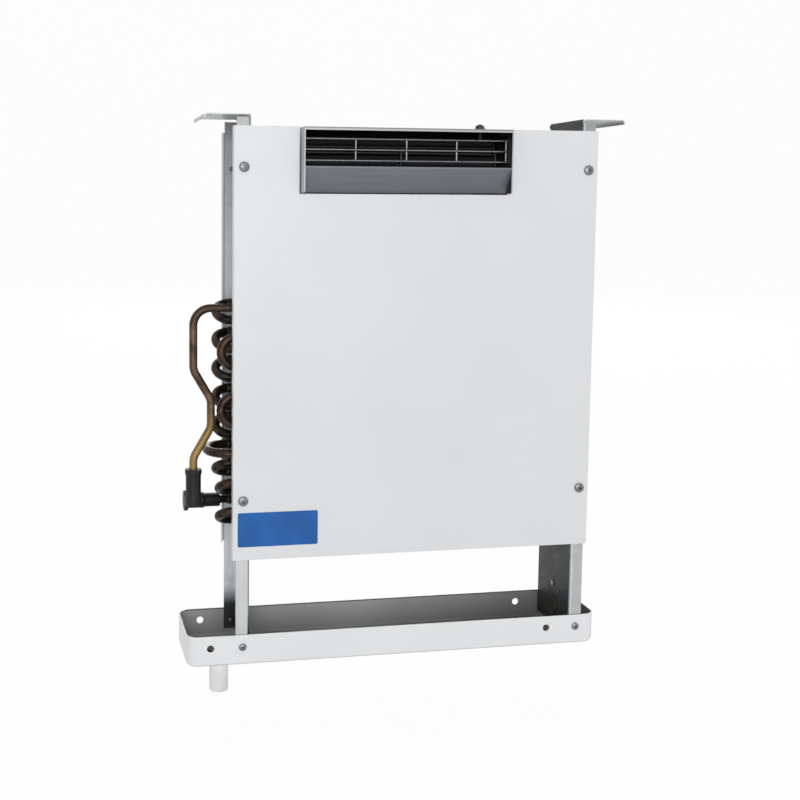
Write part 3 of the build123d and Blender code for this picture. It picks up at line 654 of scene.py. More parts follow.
def tray_sheet(name, outside, inside):
    """Paint outside the tray, bare matt sheet inside it with painted shade that darkens it towards the right, and a
    dark edge at the back.
    """
    tray_low, tray_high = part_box("drip_tray")
    centre = (tray_low + tray_high) / 2
    half = (tray_high - tray_low) / 2
    corner = 11.0 * MM
    straight = (half.x - corner, half.y - corner, 10.0)

    def within(tree):
        """1 inside the rounded walls and above the floor."""
        place = vector_of(tree, "SUBTRACT", here(tree), centre)
        beyond = vector_of(tree, "SUBTRACT", vector_of(tree, "ABSOLUTE", place), straight)
        reach = vector_of(tree, "LENGTH", vector_of(tree, "MAXIMUM", beyond), output="Value")
        height = add(tree, "ShaderNodeSeparateXYZ", {0: place}).outputs[2]
        return product(tree, below(tree, reach, corner - SHEET * 0.6), above(tree, height, -half.z + SHEET * 0.5))

    def colour(tree):
        x, y, z = axes(tree)
        worn = mottled(inside, 0.85, 1.12, 24.0, 5.0, (0.5, 1.0, 1.0))(tree)
        # Painted shade: the bare sheet darkens towards the right.
        bare = mix(tree, spread(tree, x, -0.02, 0.13), worn, tone(inside, 0.6))
        whole = mix(tree, within(tree), mottled(outside, 0.98, 1.01, 9.0, 2.0)(tree), bare)
        edge = product(tree, above(tree, z, tray_high.z - 1.1 * MM),
                       between(tree, y, tray_high.y - 2 * SHEET, tray_high.y - 0.3 * MM))
        return mix(tree, edge, whole, tone(inside, 0.3))

    return material(
        name, colour, uneven(0.32, 0.42, 55.0), grained(900.0, 0.00003, 0.3, 2.0), Coat_Weight=0.1, Coat_Roughness=0.25,
    )


def lip_shade(tree):
    """Painted light and shade on the sloping lip: a painted highlight along its bent top edge, and painted shade that
    darkens it downwards.
    """
    lip_low, lip_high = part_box("tongue_sheet")
    height = axes(tree)[2]
    top_edge_highlight = spread(tree, height, lip_high.z - 1.6 * MM, lip_high.z - 0.8 * MM, 1.0, 1.35)
    return product(tree, top_edge_highlight, spread(tree, height, lip_low.z, lip_high.z, 0.74, 1.16))


def brushed(name, colour, stretch=(1, 1, 1), metallic=1.0, roughness=0.34, grain=420.0, shade=None):
    """Plain metal with fine drawing or grinding lines."""
    lined = mottled(colour, 0.82, 1.1, grain * 0.2, 3.0, stretch)
    return material(
        name, (lambda tree: shaded(tree, lined(tree), shade(tree))) if shade else lined,
        uneven(roughness - 0.07, roughness + 0.08, grain * 0.5, 3.0, stretch),
        grained(grain, 0.00004, 0.45, 3.0, stretch), Metallic=metallic,
    )


def moulded(name, colour, roughness=0.45, gloss=0.5, grain=700.0, depth=0.00004):
    """Moulded rubber or plastic with a fine, slightly uneven skin."""
    return material(
        name, mottled(colour, 0.88, 1.12, 45.0), uneven(roughness - 0.06, roughness + 0.09, 110.0),
        grained(grain, depth, 0.5), Specular_IOR_Level=gloss,
    )


def laminated(name, colour):
    """A stack of stamped sheets seen on edge: lines across X, with a thin brown varnish."""
    stamping = 0.7 * MM

    def sheets(tree):
        phase = product(tree, axes(tree)[0], 2 * math.pi / stamping)
        return bump(tree, math_of(tree, "SINE", phase), 0.00006, 0.6)

    return material(name, mottled(colour, 0.7, 1.25, 60.0, 4.0), uneven(0.35, 0.55, 90.0), sheets, Metallic=0.6)


def enamelled(name, colour):
    """Enamelled winding wire: glossy copper brown, a little different from turn to turn."""
    return material(
        name, mottled(colour, 0.75, 1.25, 300.0, 2.0, (1, 6, 1)), uneven(0.22, 0.34, 200.0),
        grained(900.0, 0.00003, 0.3), Metallic=0.7, Coat_Weight=0.5, Coat_Roughness=0.15,
    )


DRESSED_NODES = {
    "panel_paint": ("front_panel", "rear_panel"),
    "hood_sheet": ("left_side_plate", "right_side_plate", "scroll_sheet"),
    "lip_sheet": ("tongue_sheet",),
    "tray_sheet": ("drip_tray",),
    "galvanised_sheet": ("left_end_plate", "right_end_plate"),
    "label_vinyl": ("blank_label",),
    "black_rubber": ("bearing_boot", "wheel_hub", "drain_seal"),
    "brown_rubber": ("plate_grommet",),
    "zinc_plate": ("plate_rivet", "motor_spacers", "motor_screws"),
    "shaft_steel": ("motor_shaft", "stub_axle", "motor_rotor"),
    "laminations": ("stator_frame",),
    "bobbin_plastic": ("winding_bobbin",),
    "cast_zinc": ("left_motor_bracket", "right_motor_bracket"),
    "bronze": ("axle_bush",),
}


class EVAPORATOR_OT_finishes(bpy.types.Operator):
    """Build the finishes and give them to the packed nodes that stay"""
    bl_idname = "evaporator.finishes"
    bl_label = "Finishes"

    def execute(self, context):
        colours = settings("finishes")
        painted("panel_paint", colours.paint)
        hood_sheet("hood_sheet", colours.hood, colours.hood_inside_shade)
        brushed("lip_sheet", colours.lip, (0.05, 1, 1), 0.4, 0.42, shade=lip_shade)
        tray_sheet("tray_sheet", colours.tray, colours.tray_inside)
        galvanised("galvanised_sheet", colours.zinc, colours.zinc_web_shade)
        moulded("label_vinyl", colours.label, 0.36, 0.3, 500.0, 0.00002)
        moulded("black_rubber", colours.rubber, 0.44, 0.28)
        moulded("brown_rubber", (0.045, 0.040, 0.028, 1.0), 0.6, 0.3)
        moulded("drain_plastic", colours.plastic, 0.34)
        moulded("bobbin_plastic", (0.62, 0.58, 0.46, 1.0), 0.4)
        brushed("zinc_plate", (0.22, 0.225, 0.23, 1.0), roughness=0.38)
        # Painted shade: the bolt's dark tone stands in for the shade in the hood's mouth; the nut on the roof takes the
        # same dark tone.
        brushed("dark_zinc_and_shade", (0.06, 0.062, 0.066, 1.0), roughness=0.34)
        brushed("bright_wire", (0.21, 0.215, 0.22, 1.0), roughness=0.3)
        brushed("shaft_steel", (0.46, 0.47, 0.48, 1.0), (0.1, 1, 1))
        brushed("cast_zinc", (0.50, 0.50, 0.51, 1.0), metallic=0.8, roughness=0.48, grain=700.0)
        brushed("bronze", (0.45, 0.30, 0.13, 1.0), roughness=0.42)
        brushed("fin_foil", colours.fins, (1, 1, 0.2), roughness=0.32)
        # Painted shade: the near-black tone of the fan wheel stands in for the shade inside the hood.
        brushed("shaded_wheel_sheet", (0.055, 0.057, 0.06, 1.0), (0.1, 1, 1), 0.6, 0.4)
        laminated("laminations", (0.16, 0.15, 0.14, 1.0))
        enamelled("winding_wire", (0.50, 0.17, 0.05, 1.0))
        tarnished("coil_copper", colours.copper_dark, colours.copper_warm, colours.copper_gold, 0.04)
        tarnished("braze", tone(colours.copper_warm, 0.6), colours.copper_warm, colours.copper_gold, 0.10)
        pipe_copper("outlet_copper", colours.copper_warm, colours.copper_gold)
        for finish, nodes in DRESSED_NODES.items():
            for name in nodes:
                dress(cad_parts[name].data, finish)
        return {"FINISHED"}


# Coil

def web_place():
    """How far the end plates' inner faces lie from the middle."""
    return low("right_end_plate").x


def tube_pitch():
    return size("fins").z / settings("coil").tubes_high


def tube_place(row, level):
    """Centre (y, z) of a coil tube, row 1 in front and level 1 on top."""
    rows = settings("coil").tube_rows
    row_pitch = size("fins").y / rows
    stagger = 0.5 if row % 2 == 0 else 0.0
    return (row - (rows + 1) / 2) * row_pitch, high("fins").z - (level - 0.75 + stagger) * tube_pitch()


def tube_places():
    """Centres of all the tubes, row by row."""
    coil = settings("coil")
    numbers = [(row + 1, level + 1) for row in range(coil.tube_rows) for level in range(coil.tubes_high)]
    return [tube_place(row, level) for row, level in numbers]


def return_pairs():
    """Which tube ends the return bends join on the left."""
    last = settings("coil").tubes_high
    rear = [((3, level), (2, level)) for level in range(1, last - 2)]
    front = [((1, level), (1, level + 1)) for level in (2, 4)]
    lower = [((2, last - 2), (3, last - 1))] + [((1, level), (2, level)) for level in (last - 1, last)]
    return rear + front + lower


def hairpin_pairs():
    """Which tubes are bent from one length on the right."""
    return [((3, 8), (2, 8)), ((1, 8), (1, 7)), ((2, 7), (3, 7)), ((2, 6), (2, 5)), ((3, 5), (3, 6)), ((1, 6), (1, 5)),
            ((1, 4), (2, 4)), ((3, 4), (3, 3)), ((2, 3), (1, 3)), ((1, 2), (2, 2)), ((3, 2), (3, 1)), ((2, 1), (1, 1))]


def bend_path(first, second, x, side, start_x):
    """Corners of a tube that runs from start_x to x, turns half round and runs back."""
    (y1, z1), (y2, z2) = first, second
    reach = x + side * math.dist(first, second) / 2
    return [(start_x, y1, z1), (reach, y1, z1), (reach, y2, z2), (start_x, y2, z2)]


def grow_tubes(name, paths, diameter, bend_radius, finish, bend_steps=10, sides=28):
    """Tubes along several paths, as one mesh."""
    def tubes(tree, given):
        bends = given["Bend steps"], given["Bend radius"]
        return swept(tree, given["Geometry"], *bends, given["Sides"], given["Radius"], True)

    values = {"Radius": diameter / 2, "Bend radius": bend_radius, "Bend steps": bend_steps, "Sides": sides}
    points, edges = [], []
    for path in paths:
        edges += [(len(points) + index, len(points) + index + 1) for index in range(len(path) - 1)]
        points += path
    return grow(name, tubes, values, finish, points, edges)


class EVAPORATOR_OT_coil(bpy.types.Operator):
    """Build the hairpin tubes, the return bends, the crossover and the brazed sockets"""
    bl_idname = "evaporator.coil"
    bl_label = "Coil tubes"

    def execute(self, context):
        coil = settings("coil")
        bend_x = web_place() + coil.return_lead
        hairpin_x = web_place() + coil.hairpin_lead
        level = coil.tubes_high - 2
        crossover = [((1, level), (3, level))]
        wide = math.dist(tube_place(1, level), tube_place(3, level))
        for name, node, pairs, x, side, across, steps in (
            ("smooth_hairpins", "hairpin_tubes", hairpin_pairs(), hairpin_x, 1, tube_pitch(), 10),
            ("smooth_returns", "return_bends", return_pairs(), -bend_x, -1, tube_pitch(), 10),
            ("smooth_crossover", "crossover_bend", crossover, -bend_x, -1, wide, 18),
        ):
            paths = [bend_path(tube_place(*first), tube_place(*second), x, side, -bend_x) for first, second in pairs]
            mesh = grow_tubes(name, paths, coil.tube_diameter, across / 2 * BEND_SHARE, "coil_copper", steps)
            place_piece(name, mesh, FIXED, [node])
        self.add_sockets(coil, bend_x)
        return {"FINISHED"}

    def add_sockets(self, coil, bend_x):
        """Widened tube ends with a ring of braze, instanced on every tube end on the left."""
        outer = coil.socket_diameter / 2
        inner = coil.tube_diameter / 2 - 0.1 * MM
        corners = [(inner, -coil.socket_length), (outer, -coil.socket_length), (outer, 0.0), (inner, 1.2 * MM)]
        socket = rounded_ring(corners, 0.8 * MM, segments=24)
        points = [(-bend_x, y, z) for y, z in tube_places()]
        mesh = scatter("sockets", [socket], 3, "braze", points, (-1, 0, 0))
        place_piece("brazed_sockets", mesh, FIXED)


def scatter(name, meshes, seed, finish, points, direction):
    """A piece on every point, its Z along the direction and turned by chance about it. A second mesh is cut out
    of the first."""
    def pieces(tree, given):
        shapes = [add(tree, "GeometryNodeObjectInfo", {"Object": given[label]}).outputs["Geometry"]
                  for label in templates]
        piece = shapes[0]
        if len(shapes) > 1:
            cut = {0: piece, 1: shapes[1]}
            piece = out(tree, "GeometryNodeMeshBoolean", cut, operation="DIFFERENCE", solver="EXACT")
        facing = out(tree, "GeometryNodeInputNamedAttribute", {"Name": "facing"}, data_type="FLOAT_VECTOR")
        aligned = out(tree, "FunctionNodeAlignRotationToVector", {"Vector": facing}, axis="Z")
        chance = add(tree, "FunctionNodeRandomValue", {"Seed": given["Seed"]}, data_type="FLOAT")
        share = [socket for socket in chance.outputs if socket.enabled][0]
        about = along(tree, 2, product(tree, share, 2 * math.pi))
        spin = out(tree, "FunctionNodeEulerToRotation", {0: about})
        turned_by = {0: aligned, 1: spin}
        rotation = out(tree, "FunctionNodeRotateRotation", turned_by, rotation_space="LOCAL")
        return instances(tree, given["Geometry"], piece, rotation)

    labels = ("Piece", "Recess")
    templates = {label: bpy.data.objects.new(label, mesh) for label, mesh in zip(labels, meshes)}
    whole = grow(name, pieces, {**templates, "Seed": seed}, finish, points, directions=[direction] * len(points))
    for template in templates.values():
        bpy.data.objects.remove(template)
    return whole


class EVAPORATOR_OT_fins(bpy.types.Operator):
    """Build the pack of foil fins, each pierced by every tube"""
    bl_idname = "evaporator.fins"
    bl_label = "Fin pack"

    def execute(self, context):
        coil = settings("coil")
        centre = middle("fins")
        pitch = 2 * web_place() / coil.fin_count
        values = {"Depth": size("fins").y, "Height": size("fins").z, "Hole radius": coil.tube_diameter / 2 + 0.05 * MM,
                  "Thickness": coil.fin_thickness, "Count": coil.fin_count, "Pitch": pitch,
                  "Start": Vector((-web_place() + pitch / 2, centre.y, centre.z))}
        points = [(y - centre.y, z - centre.z, 0) for y, z in tube_places()]
        mesh = grow("fins", self.fins, values, "fin_foil", points)
        place_piece("fin_pack", mesh, FIXED, ["fins"], 20.0)
        return {"FINISHED"}

    def fins(self, tree, given):
        """One pierced fin, drawn flat, given its thickness, stood up and repeated along X."""
        edge = out(tree, "GeometryNodeCurvePrimitiveQuadrilateral",
                   {"Width": given["Depth"], "Height": given["Height"]})
        hole = out(tree, "GeometryNodeCurvePrimitiveCircle",
                   {"Resolution": 12, "Radius": given["Hole radius"]})
        lines = together(tree, edge, instances(tree, given["Geometry"], hole))
        flat = out(tree, "GeometryNodeFillCurve", {"Curve": lines})
        solid = thicken(tree, flat, along(tree, 2, given["Thickness"]))
        upright = (math.pi / 2, 0, math.pi / 2)
        stood = out(tree, "GeometryNodeTransform", {"Geometry": solid, "Rotation": upright})
        seats = out(tree, "GeometryNodeMeshLine", {"Count": given["Count"], "Start Location": given["Start"],
                                                   "Offset": along(tree, 0, given["Pitch"])})
        return instances(tree, seats, stood)


# Connecting pipes and their caps

def pipe_far_x():
    return low("outlet_pipe").x + settings("pipes").diameter / 2


class EVAPORATOR_OT_pipes(bpy.types.Operator):
    """Build the outlet pipe with its jog, and the straight inlet pipe"""
    bl_idname = "evaporator.pipes"
    bl_label = "Connecting pipes"

    def execute(self, context):
        pipes = settings("pipes")
        coil = settings("coil")
        y, z = tube_place(1, 1)
        far = pipe_far_x()
        near = far + pipes.jog
        heights = [z - pipes.jog_drop]
        for drop in (pipes.jog_slope, pipes.jog_straight, pipes.jog_slope):
            heights.append(heights[-1] - drop)
        corners = [(-web_place() - coil.return_lead, z), (far, z), (far, heights[0]), (near, heights[1]),
                   (near, heights[2]), (far, heights[3]), (far, low("outlet_pipe").z)]
        path = [(x, y, height) for x, height in corners]
        mesh = grow_tubes("outlet", [path], pipes.diameter, pipes.bend_radius, "outlet_copper", 10, 32)
        place_piece("smooth_outlet_pipe", mesh, FIXED, ["outlet_pipe"])
        y, z = tube_place(coil.tube_rows, coil.tubes_high)
        radius = pipes.diameter / 2
        section = rectangle(radius - pipes.wall, 0, radius, size("inlet_pipe").x)
        mesh = rounded_ring(section, 0.25 * MM, looking((1, 0, 0), (low("inlet_pipe").x, y, z)), 32)
        place_piece("smooth_inlet_pipe", mesh, FIXED, ["inlet_pipe"], finish="coil_copper")
        return {"FINISHED"}


class EVAPORATOR_OT_caps(bpy.types.Operator):
    """Build the two moulded rubber caps"""
    bl_idname = "evaporator.caps"
    bl_label = "Rubber caps"

    def execute(self, context):
        coil = settings("coil")
        cap_low, cap_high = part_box("outlet_cap")
        reach = (cap_high.x - cap_low.x) / 2
        end = low("outlet_pipe").z
        closed_end = end - cap_low.z
        grip = cap_high.z - end
        outside = [(0, closed_end), (reach * 0.93, closed_end), (reach, closed_end - 1.4 * MM), (reach, -3.0 * MM),
                   (reach * 0.91, -4.6 * MM), (reach * 0.91, -grip + 5.2 * MM), (reach, -grip + 3.8 * MM),
                   (reach, -grip)]
        place = looking((0, 0, -1), (pipe_far_x(), tube_place(1, 1)[0], end))
        self.add_cap("outlet_cap", "outlet_pipe_cap", outside, place)
        cap_low, cap_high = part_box("inlet_cap")
        head = (cap_high.y - cap_low.y) / 2
        end = low("inlet_pipe").x
        closed_end = end - cap_low.x
        outside = [(0, closed_end), (head, closed_end), (head, closed_end - 3.4 * MM),
                   (reach * 0.96, closed_end - 4.2 * MM), (reach * 0.96, -10.0 * MM), (reach, -10.8 * MM),
                   (reach, -13.0 * MM), (reach * 0.86, -14.0 * MM), (reach * 0.86, end - cap_high.x)]
        place = looking((-1, 0, 0), (end, *tube_place(coil.tube_rows, coil.tubes_high)))
        self.add_cap("inlet_cap", "inlet_pipe_cap", outside, place)
        return {"FINISHED"}

    def add_cap(self, node, body, outside, place):
        """A cap turned from its outline, with a bore from its mouth to a stop at the pipe's end."""
        bore = settings("pipes").diameter / 2 + 0.05 * MM
        stop = 0.3 * MM
        profile = soften([*outside, (bore, outside[-1][1]), (bore, stop), (0, stop)], 0.7 * MM, 3)
        place_piece("moulded_" + node, turned(profile, place, 56), body, [node], finish="black_rubber")


# Screws and the hood's bolt

SCREW_NODES = (
    "front_panel_screws",
    "rear_panel_screws",
    "front_tray_screws",
    "rear_tray_screws",
    "fan_fixing_screws",
)


def separate_solids(node):
    """The lowest and highest corner of each separate solid of a node, from left to right."""
    shape = bmesh.new()
    shape.from_mesh(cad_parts[node].data)
    bmesh.ops.remove_doubles(shape, verts=shape.verts, dist=0.02 * MM)
    waiting = set(shape.verts)
    found = []
    while waiting:
        island = [waiting.pop()]
        for vertex in island:
            for edge in vertex.link_edges:
                other = edge.other_vert(vertex)
                if other in waiting:
                    waiting.discard(other)
                    island.append(other)
        corners = [[vertex.co[axis] for vertex in island] for axis in range(3)]
        found.append((Vector([min(values) for values in corners]), Vector([max(values) for values in corners])))
    shape.free()
    return sorted(found, key=lambda box: (round(box[0].x, 3), box[0].z))


class EVAPORATOR_OT_screws(bpy.types.Operator):
    """Build the pan-head screws of the panels, the tray and the fan"""
    bl_idname = "evaporator.screws"
    bl_label = "Screws"

    def execute(self, context):
        for index, node in enumerate(SCREW_NODES):
            towards = -1 if node.startswith("front") else 1
            boxes = separate_solids(node)
            head = (boxes[0][1].z - boxes[0][0].z) / 2
            head_height = boxes[0][1].y - boxes[0][0].y - settings("screws").grip
            outermost = high(node).y if towards > 0 else low(node).y
            seat = outermost - towards * head_height
            points = [((first.x + last.x) / 2, seat, (first.z + last.z) / 2) for first, last in boxes]
            meshes = self.screw_mesh(head, head_height), self.recess_mesh(head, head_height)
            mesh = scatter(node, meshes, index, "zinc_plate", points, (0, towards, 0))
            place_piece("pan_head_" + node, mesh, FIXED, [node], 30.0)
        return {"FINISHED"}

    def screw_mesh(self, head, head_height):
        """Head with a domed crown and a short rim, and its plain shank."""
        screws = settings("screws")
        rim = head_height * 0.42
        crown = head_height - rim
        turns = [math.pi / 2 * step / 7 for step in range(1, 8)]
        dome = [(head * math.sin(turn) ** 0.85, rim + crown * math.cos(turn)) for turn in turns]
        shank = screws.shank_diameter / 2
        return turned([(0, head_height), *dome, (head, rim * 0.3), (head * 0.97, 0), (shank, 0),
                       (shank, -screws.grip * 0.86), (shank * 0.55, -screws.grip), (0, -screws.grip)], segments=36)

    def recess_mesh(self, head, head_height):
        """A cross that tapers into the crown."""
        loops = []
        for height, share in ((head_height * 0.25, 0.55), (head_height * 1.2, 1.0)):
            arm = head * settings("screws").recess * share
            half = arm * 0.22
            quarter = [Vector((arm, -half, height)), Vector((arm, half, height)), Vector((half, half, height))]
            turns = [Matrix.Rotation(math.pi / 2 * index, 3, "Z") for index in range(4)]
            loops.append([turn @ corner for turn in turns for corner in quarter])
        return skin(loops, capped=True)


class EVAPORATOR_OT_hood_bolt(bpy.types.Operator):
    """Build the threaded bolt that hangs through the hood's roof and its hexagon nut"""
    bl_idname = "evaporator.hood_bolt"
    bl_label = "Hood bolt"

    def execute(self, context):
        centre = middle("hood_nut")
        bolt = size("hood_screw")
        nut = size("hood_nut")
        nut_foot = low("hood_nut").z
        thread = 2.0 * MM
        flats = nut.y / 2

        def at(height):
            return Matrix.Translation((centre.x, centre.y, height))

        rod = threaded_rod(thread, 0.32 * MM, 0.7 * MM, bolt.z, at(low("hood_screw").z))
        section = rectangle(1.8 * MM, -1.6 * MM, bolt.x / 2, 0)
        washer = rounded_ring(section, 0.3 * MM, at(high("scroll_sheet").z - 0.8 * MM), 32)
        place_piece("threaded_hood_bolt", joined(rod, washer), FIXED, ["hood_screw"], 40.0, "dark_zinc_and_shade")
        foot = [(thread, 0), (flats * 1.45, 0), (flats * 1.4, 0.7 * MM), (thread, 0.7 * MM)]
        mesh = joined(self.nut_mesh(flats, thread * 0.98, nut.z, at(nut_foot)), turned(foot, at(nut_foot), 36, True))
        place_piece("hexagon_hood_nut", mesh, FIXED, ["hood_nut"], 25.0, "dark_zinc_and_shade")
        return {"FINISHED"}

    def nut_mesh(self, flats, bore, height, place):
        """A hexagon nut whose corners are chamfered by a cone, with a round bore."""
        def hexagon(limit):
            side = math.pi / 3
            return lambda turn: min(flats / math.cos((turn + side / 2) % side - side / 2), flats * limit)

        levels = [(0.0, 1.05), (0.12, 1.15), (0.88, 1.15), (1.0, 1.05)]
        rings = [ring(hexagon(limit), share * height, 48) for share, limit in levels]
        rings += [ring(bore, height, 48), ring(bore, 0, 48)]
        return skin(rings, place @ Matrix.Rotation(math.pi / 2, 4, "Z"), True)


# Fan

class EVAPORATOR_OT_fan_wheel(bpy.types.Operator):
    """Build the cross-flow wheel's curved blades, discs, rings and balance clip"""
    bl_idname = "evaporator.fan_wheel"
    bl_label = "Fan wheel"

    def execute(self, context):
        fan = settings("fan")
        centre = middle("fan_wheel")
        rim = size("fan_wheel").z / 2
        run = size("fan_wheel").x
        start = Vector((low("fan_wheel").x, centre.y, centre.z))
        steps = 8
        outline = self.around_blade(fan, rim, [step / steps for step in range(steps + 1)], 0.5)
        values = {"Length": run - 2 * fan.disc, "Blades": fan.blades, "Place": start}
        blades = grow("blades", self.blades, values, "shaded_wheel_sheet", outline, faces=[range(len(outline))])
        place_piece("wheel_blades", blades, SPINNING, ["fan_wheel"], 40.0)
        place_piece("wheel_discs", self.discs(fan, run, rim, looking((1, 0, 0), start)), SPINNING,
                    ["fan_wheel"], 30.0, "shaded_wheel_sheet")
        place_piece("balance_clip", self.clip_mesh(fan, centre, rim), SPINNING, (), 30.0, "fin_foil")
        return {"FINISHED"}

    def around_blade(self, fan, rim, shares, side):
        """An outline round the blade's section: shares of its depth, and how many sheets lie on each side."""
        rake = Matrix.Rotation(math.radians(24.0), 3, "X")
        edge = rim - 0.4 * MM
        outline = []
        for share, sheets in [(share, side) for share in shares] + [(share, -side) for share in reversed(shares)]:
            rise = 4 * fan.blade_camber * share * (1 - share) + sheets * fan.blade_thickness
            point = rake @ Vector((0, -fan.blade_depth * share, rise))
            outline.append(Vector((fan.disc, point.y + edge, point.z)))
        return outline

    def clip_mesh(self, fan, centre, rim):
        """The small spring clip that balances the wheel, pinched over the edge of one blade."""
        grip = (0.6, 0.4, 0.2, 0.0, -0.05)
        outline = self.around_blade(fan, rim, grip, 2.0) + self.around_blade(fan, rim, grip[:-1], -1.0)
        ends = [[(reach, point.y, point.z) for point in outline] for reach in (-3 * MM, 3 * MM)]
        clipped_blade = 12
        blade = Matrix.Rotation(2 * math.pi * clipped_blade / fan.blades, 4, "X")
        return skin(ends, Matrix.Translation((centre.x - 5 * MM, centre.y, centre.z)) @ blade, capped=True)

    def blades(self, tree, given):
        """The blade's section drawn out along X and repeated round the axis."""
        blade = thicken(tree, given["Geometry"], along(tree, 0, given["Length"]))
        seats = out(tree, "GeometryNodeMeshLine", {"Count": given["Blades"], "Offset": (0, 0, 0)})
        index = out(tree, "GeometryNodeInputIndex")
        turn = math_of(tree, "DIVIDE", product(tree, index, 2 * math.pi), given["Blades"])
        blades = instances(tree, seats, blade, along(tree, 0, turn))
        return out(tree, "GeometryNodeTransform", {"Geometry": blades, "Translation": given["Place"]})

    def discs(self, fan, run, rim, place):
        """Two end discs and the stiffening rings."""
        bore = 2.5 * MM
        inner = rim - fan.blade_depth - 1.0 * MM
        starts = [(bore, 0.0), (bore, run - fan.disc)]
        starts += [(inner, run * (index + 1) / (fan.rings + 1) - fan.disc / 2) for index in range(fan.rings)]
        sections = [rectangle(radius, start, rim, start + fan.disc) for radius, start in starts]
        return joined(*[rounded_ring(section, 0.4 * MM, place, 64) for section in sections])


class EVAPORATOR_OT_grille(bpy.types.Operator):
    """Build the outlet grille of round welded wires"""
    bl_idname = "evaporator.grille"
    bl_label = "Outlet grille"

    def execute(self, context):
        fan = settings("fan")
        grille_low, grille_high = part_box("outlet_grille")
        radius = fan.wire / 2
        rows, bays = 3, 4
        top = grille_high.z - radius
        bottom = grille_low.z + radius
        paths = []
        for row in range(rows):
            z = top + (bottom - top) * row / (rows - 1)
            inset = SHEET + 0.3 * MM if row == 1 else 0.0
            paths.append([(x, grille_low.y + radius, z) for x in (grille_low.x + inset, grille_high.x - inset)])
        first = grille_low.x + SHEET + 1.2 * MM
        last = grille_high.x - SHEET - 1.2 * MM
        for index in range(bays + 1):
            x = first + (last - first) * index / bays
            paths.append([(x, grille_high.y - radius, z) for z in (grille_low.z, grille_high.z)])
        mesh = grow_tubes("wires", paths, fan.wire, 0.1 * MM, "bright_wire", 1, 16)
        place_piece("round_wire_grille", mesh, FIXED, ["outlet_grille"])
        return {"FINISHED"}


class EVAPORATOR_OT_winding(bpy.types.Operator):
    """Wind the motor's coil, turn beside turn, round a core"""
    bl_idname = "evaporator.winding"
    bl_label = "Motor winding"

    def execute(self, context):
        wire = settings("fan").winding_wire
        centre = middle("stator_winding")
        half = size("stator_winding") / 2
        first = low("stator_winding").y + wire / 2
        loop = [(centre.x + x, first, centre.z + z) for x, z in self.outline(half, wire / 2)]
        values = {"Radius": wire / 2, "Corner": 3.0 * MM, "Count": round(size("stator_winding").y / wire),
                  "Pitch": wire}
        mesh = grow("turns", self.turns, values, "winding_wire", loop, [(0, 1), (1, 2), (2, 3), (3, 0)])
        place_piece("winding_turns", mesh, FIXED, ["stator_winding"], 60.0)
        core = self.core_mesh(centre, half, wire)
        place_piece("winding_core", core, FIXED, ["stator_winding"], 30.0, "winding_wire")
        return {"FINISHED"}

    def outline(self, half, inset):
        return rectangle(-half.x + inset, -half.z + inset, half.x - inset, half.z - inset)

    def core_mesh(self, centre, half, wire):
        """The inner layers, as a rounded sleeve with the stator's leg through it."""
        leg = 5.2 * MM
        reach = half.y - wire * 0.4
        loops = []
        for inset, y in ((wire, -reach), (wire, reach), (leg, reach), (leg, -reach)):
            rounded = soften(self.outline(half, inset), 2.5 * MM, 4, True)
            loops.append([(point.x, y, point.y) for point in rounded])
        return skin(loops, Matrix.Translation(centre), True)

    def turns(self, tree, given):
        """A closed turn of wire with rounded corners, repeated along Y."""
        turn = swept(tree, given["Geometry"], 4, given["Corner"], 8, given["Radius"])
        seats = out(tree, "GeometryNodeMeshLine",
                    {"Count": given["Count"], "Offset": along(tree, 1, given["Pitch"])})
        return instances(tree, seats, turn)


class EVAPORATOR_OT_drain(bpy.types.Operator):
    """Build the drain spigot with its rounded lip"""
    bl_idname = "evaporator.drain"
    bl_label = "Drain spigot"

    def execute(self, context):
        centre = middle("drain_spigot")
        foot = low("drain_spigot").z
        flange = size("drain_spigot").x / 2
        pipe = 8.5 * MM
        neck = 8.2 * MM
        bore = 6.5 * MM
        top = size("drain_spigot").z
        floor = low("drip_tray").z - foot
        brim = top - 1.5 * MM
        corners = [(bore, 0), (pipe * 0.985, 0), (pipe, 4.0 * MM), (pipe, floor), (neck, floor), (neck, brim),
                   (flange, brim), (flange, top), (bore, top)]
        mesh = rounded_ring(corners, 0.6 * MM, Matrix.Translation((centre.x, centre.y, foot)), 56)
        dress(mesh, "drain_plastic", "black_rubber")
        for face in mesh.polygons:
            face.material_index = int(face.center.z > low("drip_tray").z)
        place_piece("moulded_drain_spigot", mesh, FIXED, ["drain_spigot"], 30.0)
        return {"FINISHED"}


# Stage

def seen_directly(tree):
    """1 for rays from the camera, from a gloss or through glass, 0 for the light that falls on things."""
    path = add(tree, "ShaderNodeLightPath").outputs
    seen = math_of(tree, "MAXIMUM", path["Is Camera Ray"], path["Is Glossy Ray"])
    return math_of(tree, "MAXIMUM", seen, path["Is Transmission Ray"])


def show(context, name, data):
    """A new object in the scene."""
    shown = bpy.data.objects.new(name, data)
    context.scene.collection.objects.link(shown)
    return shown


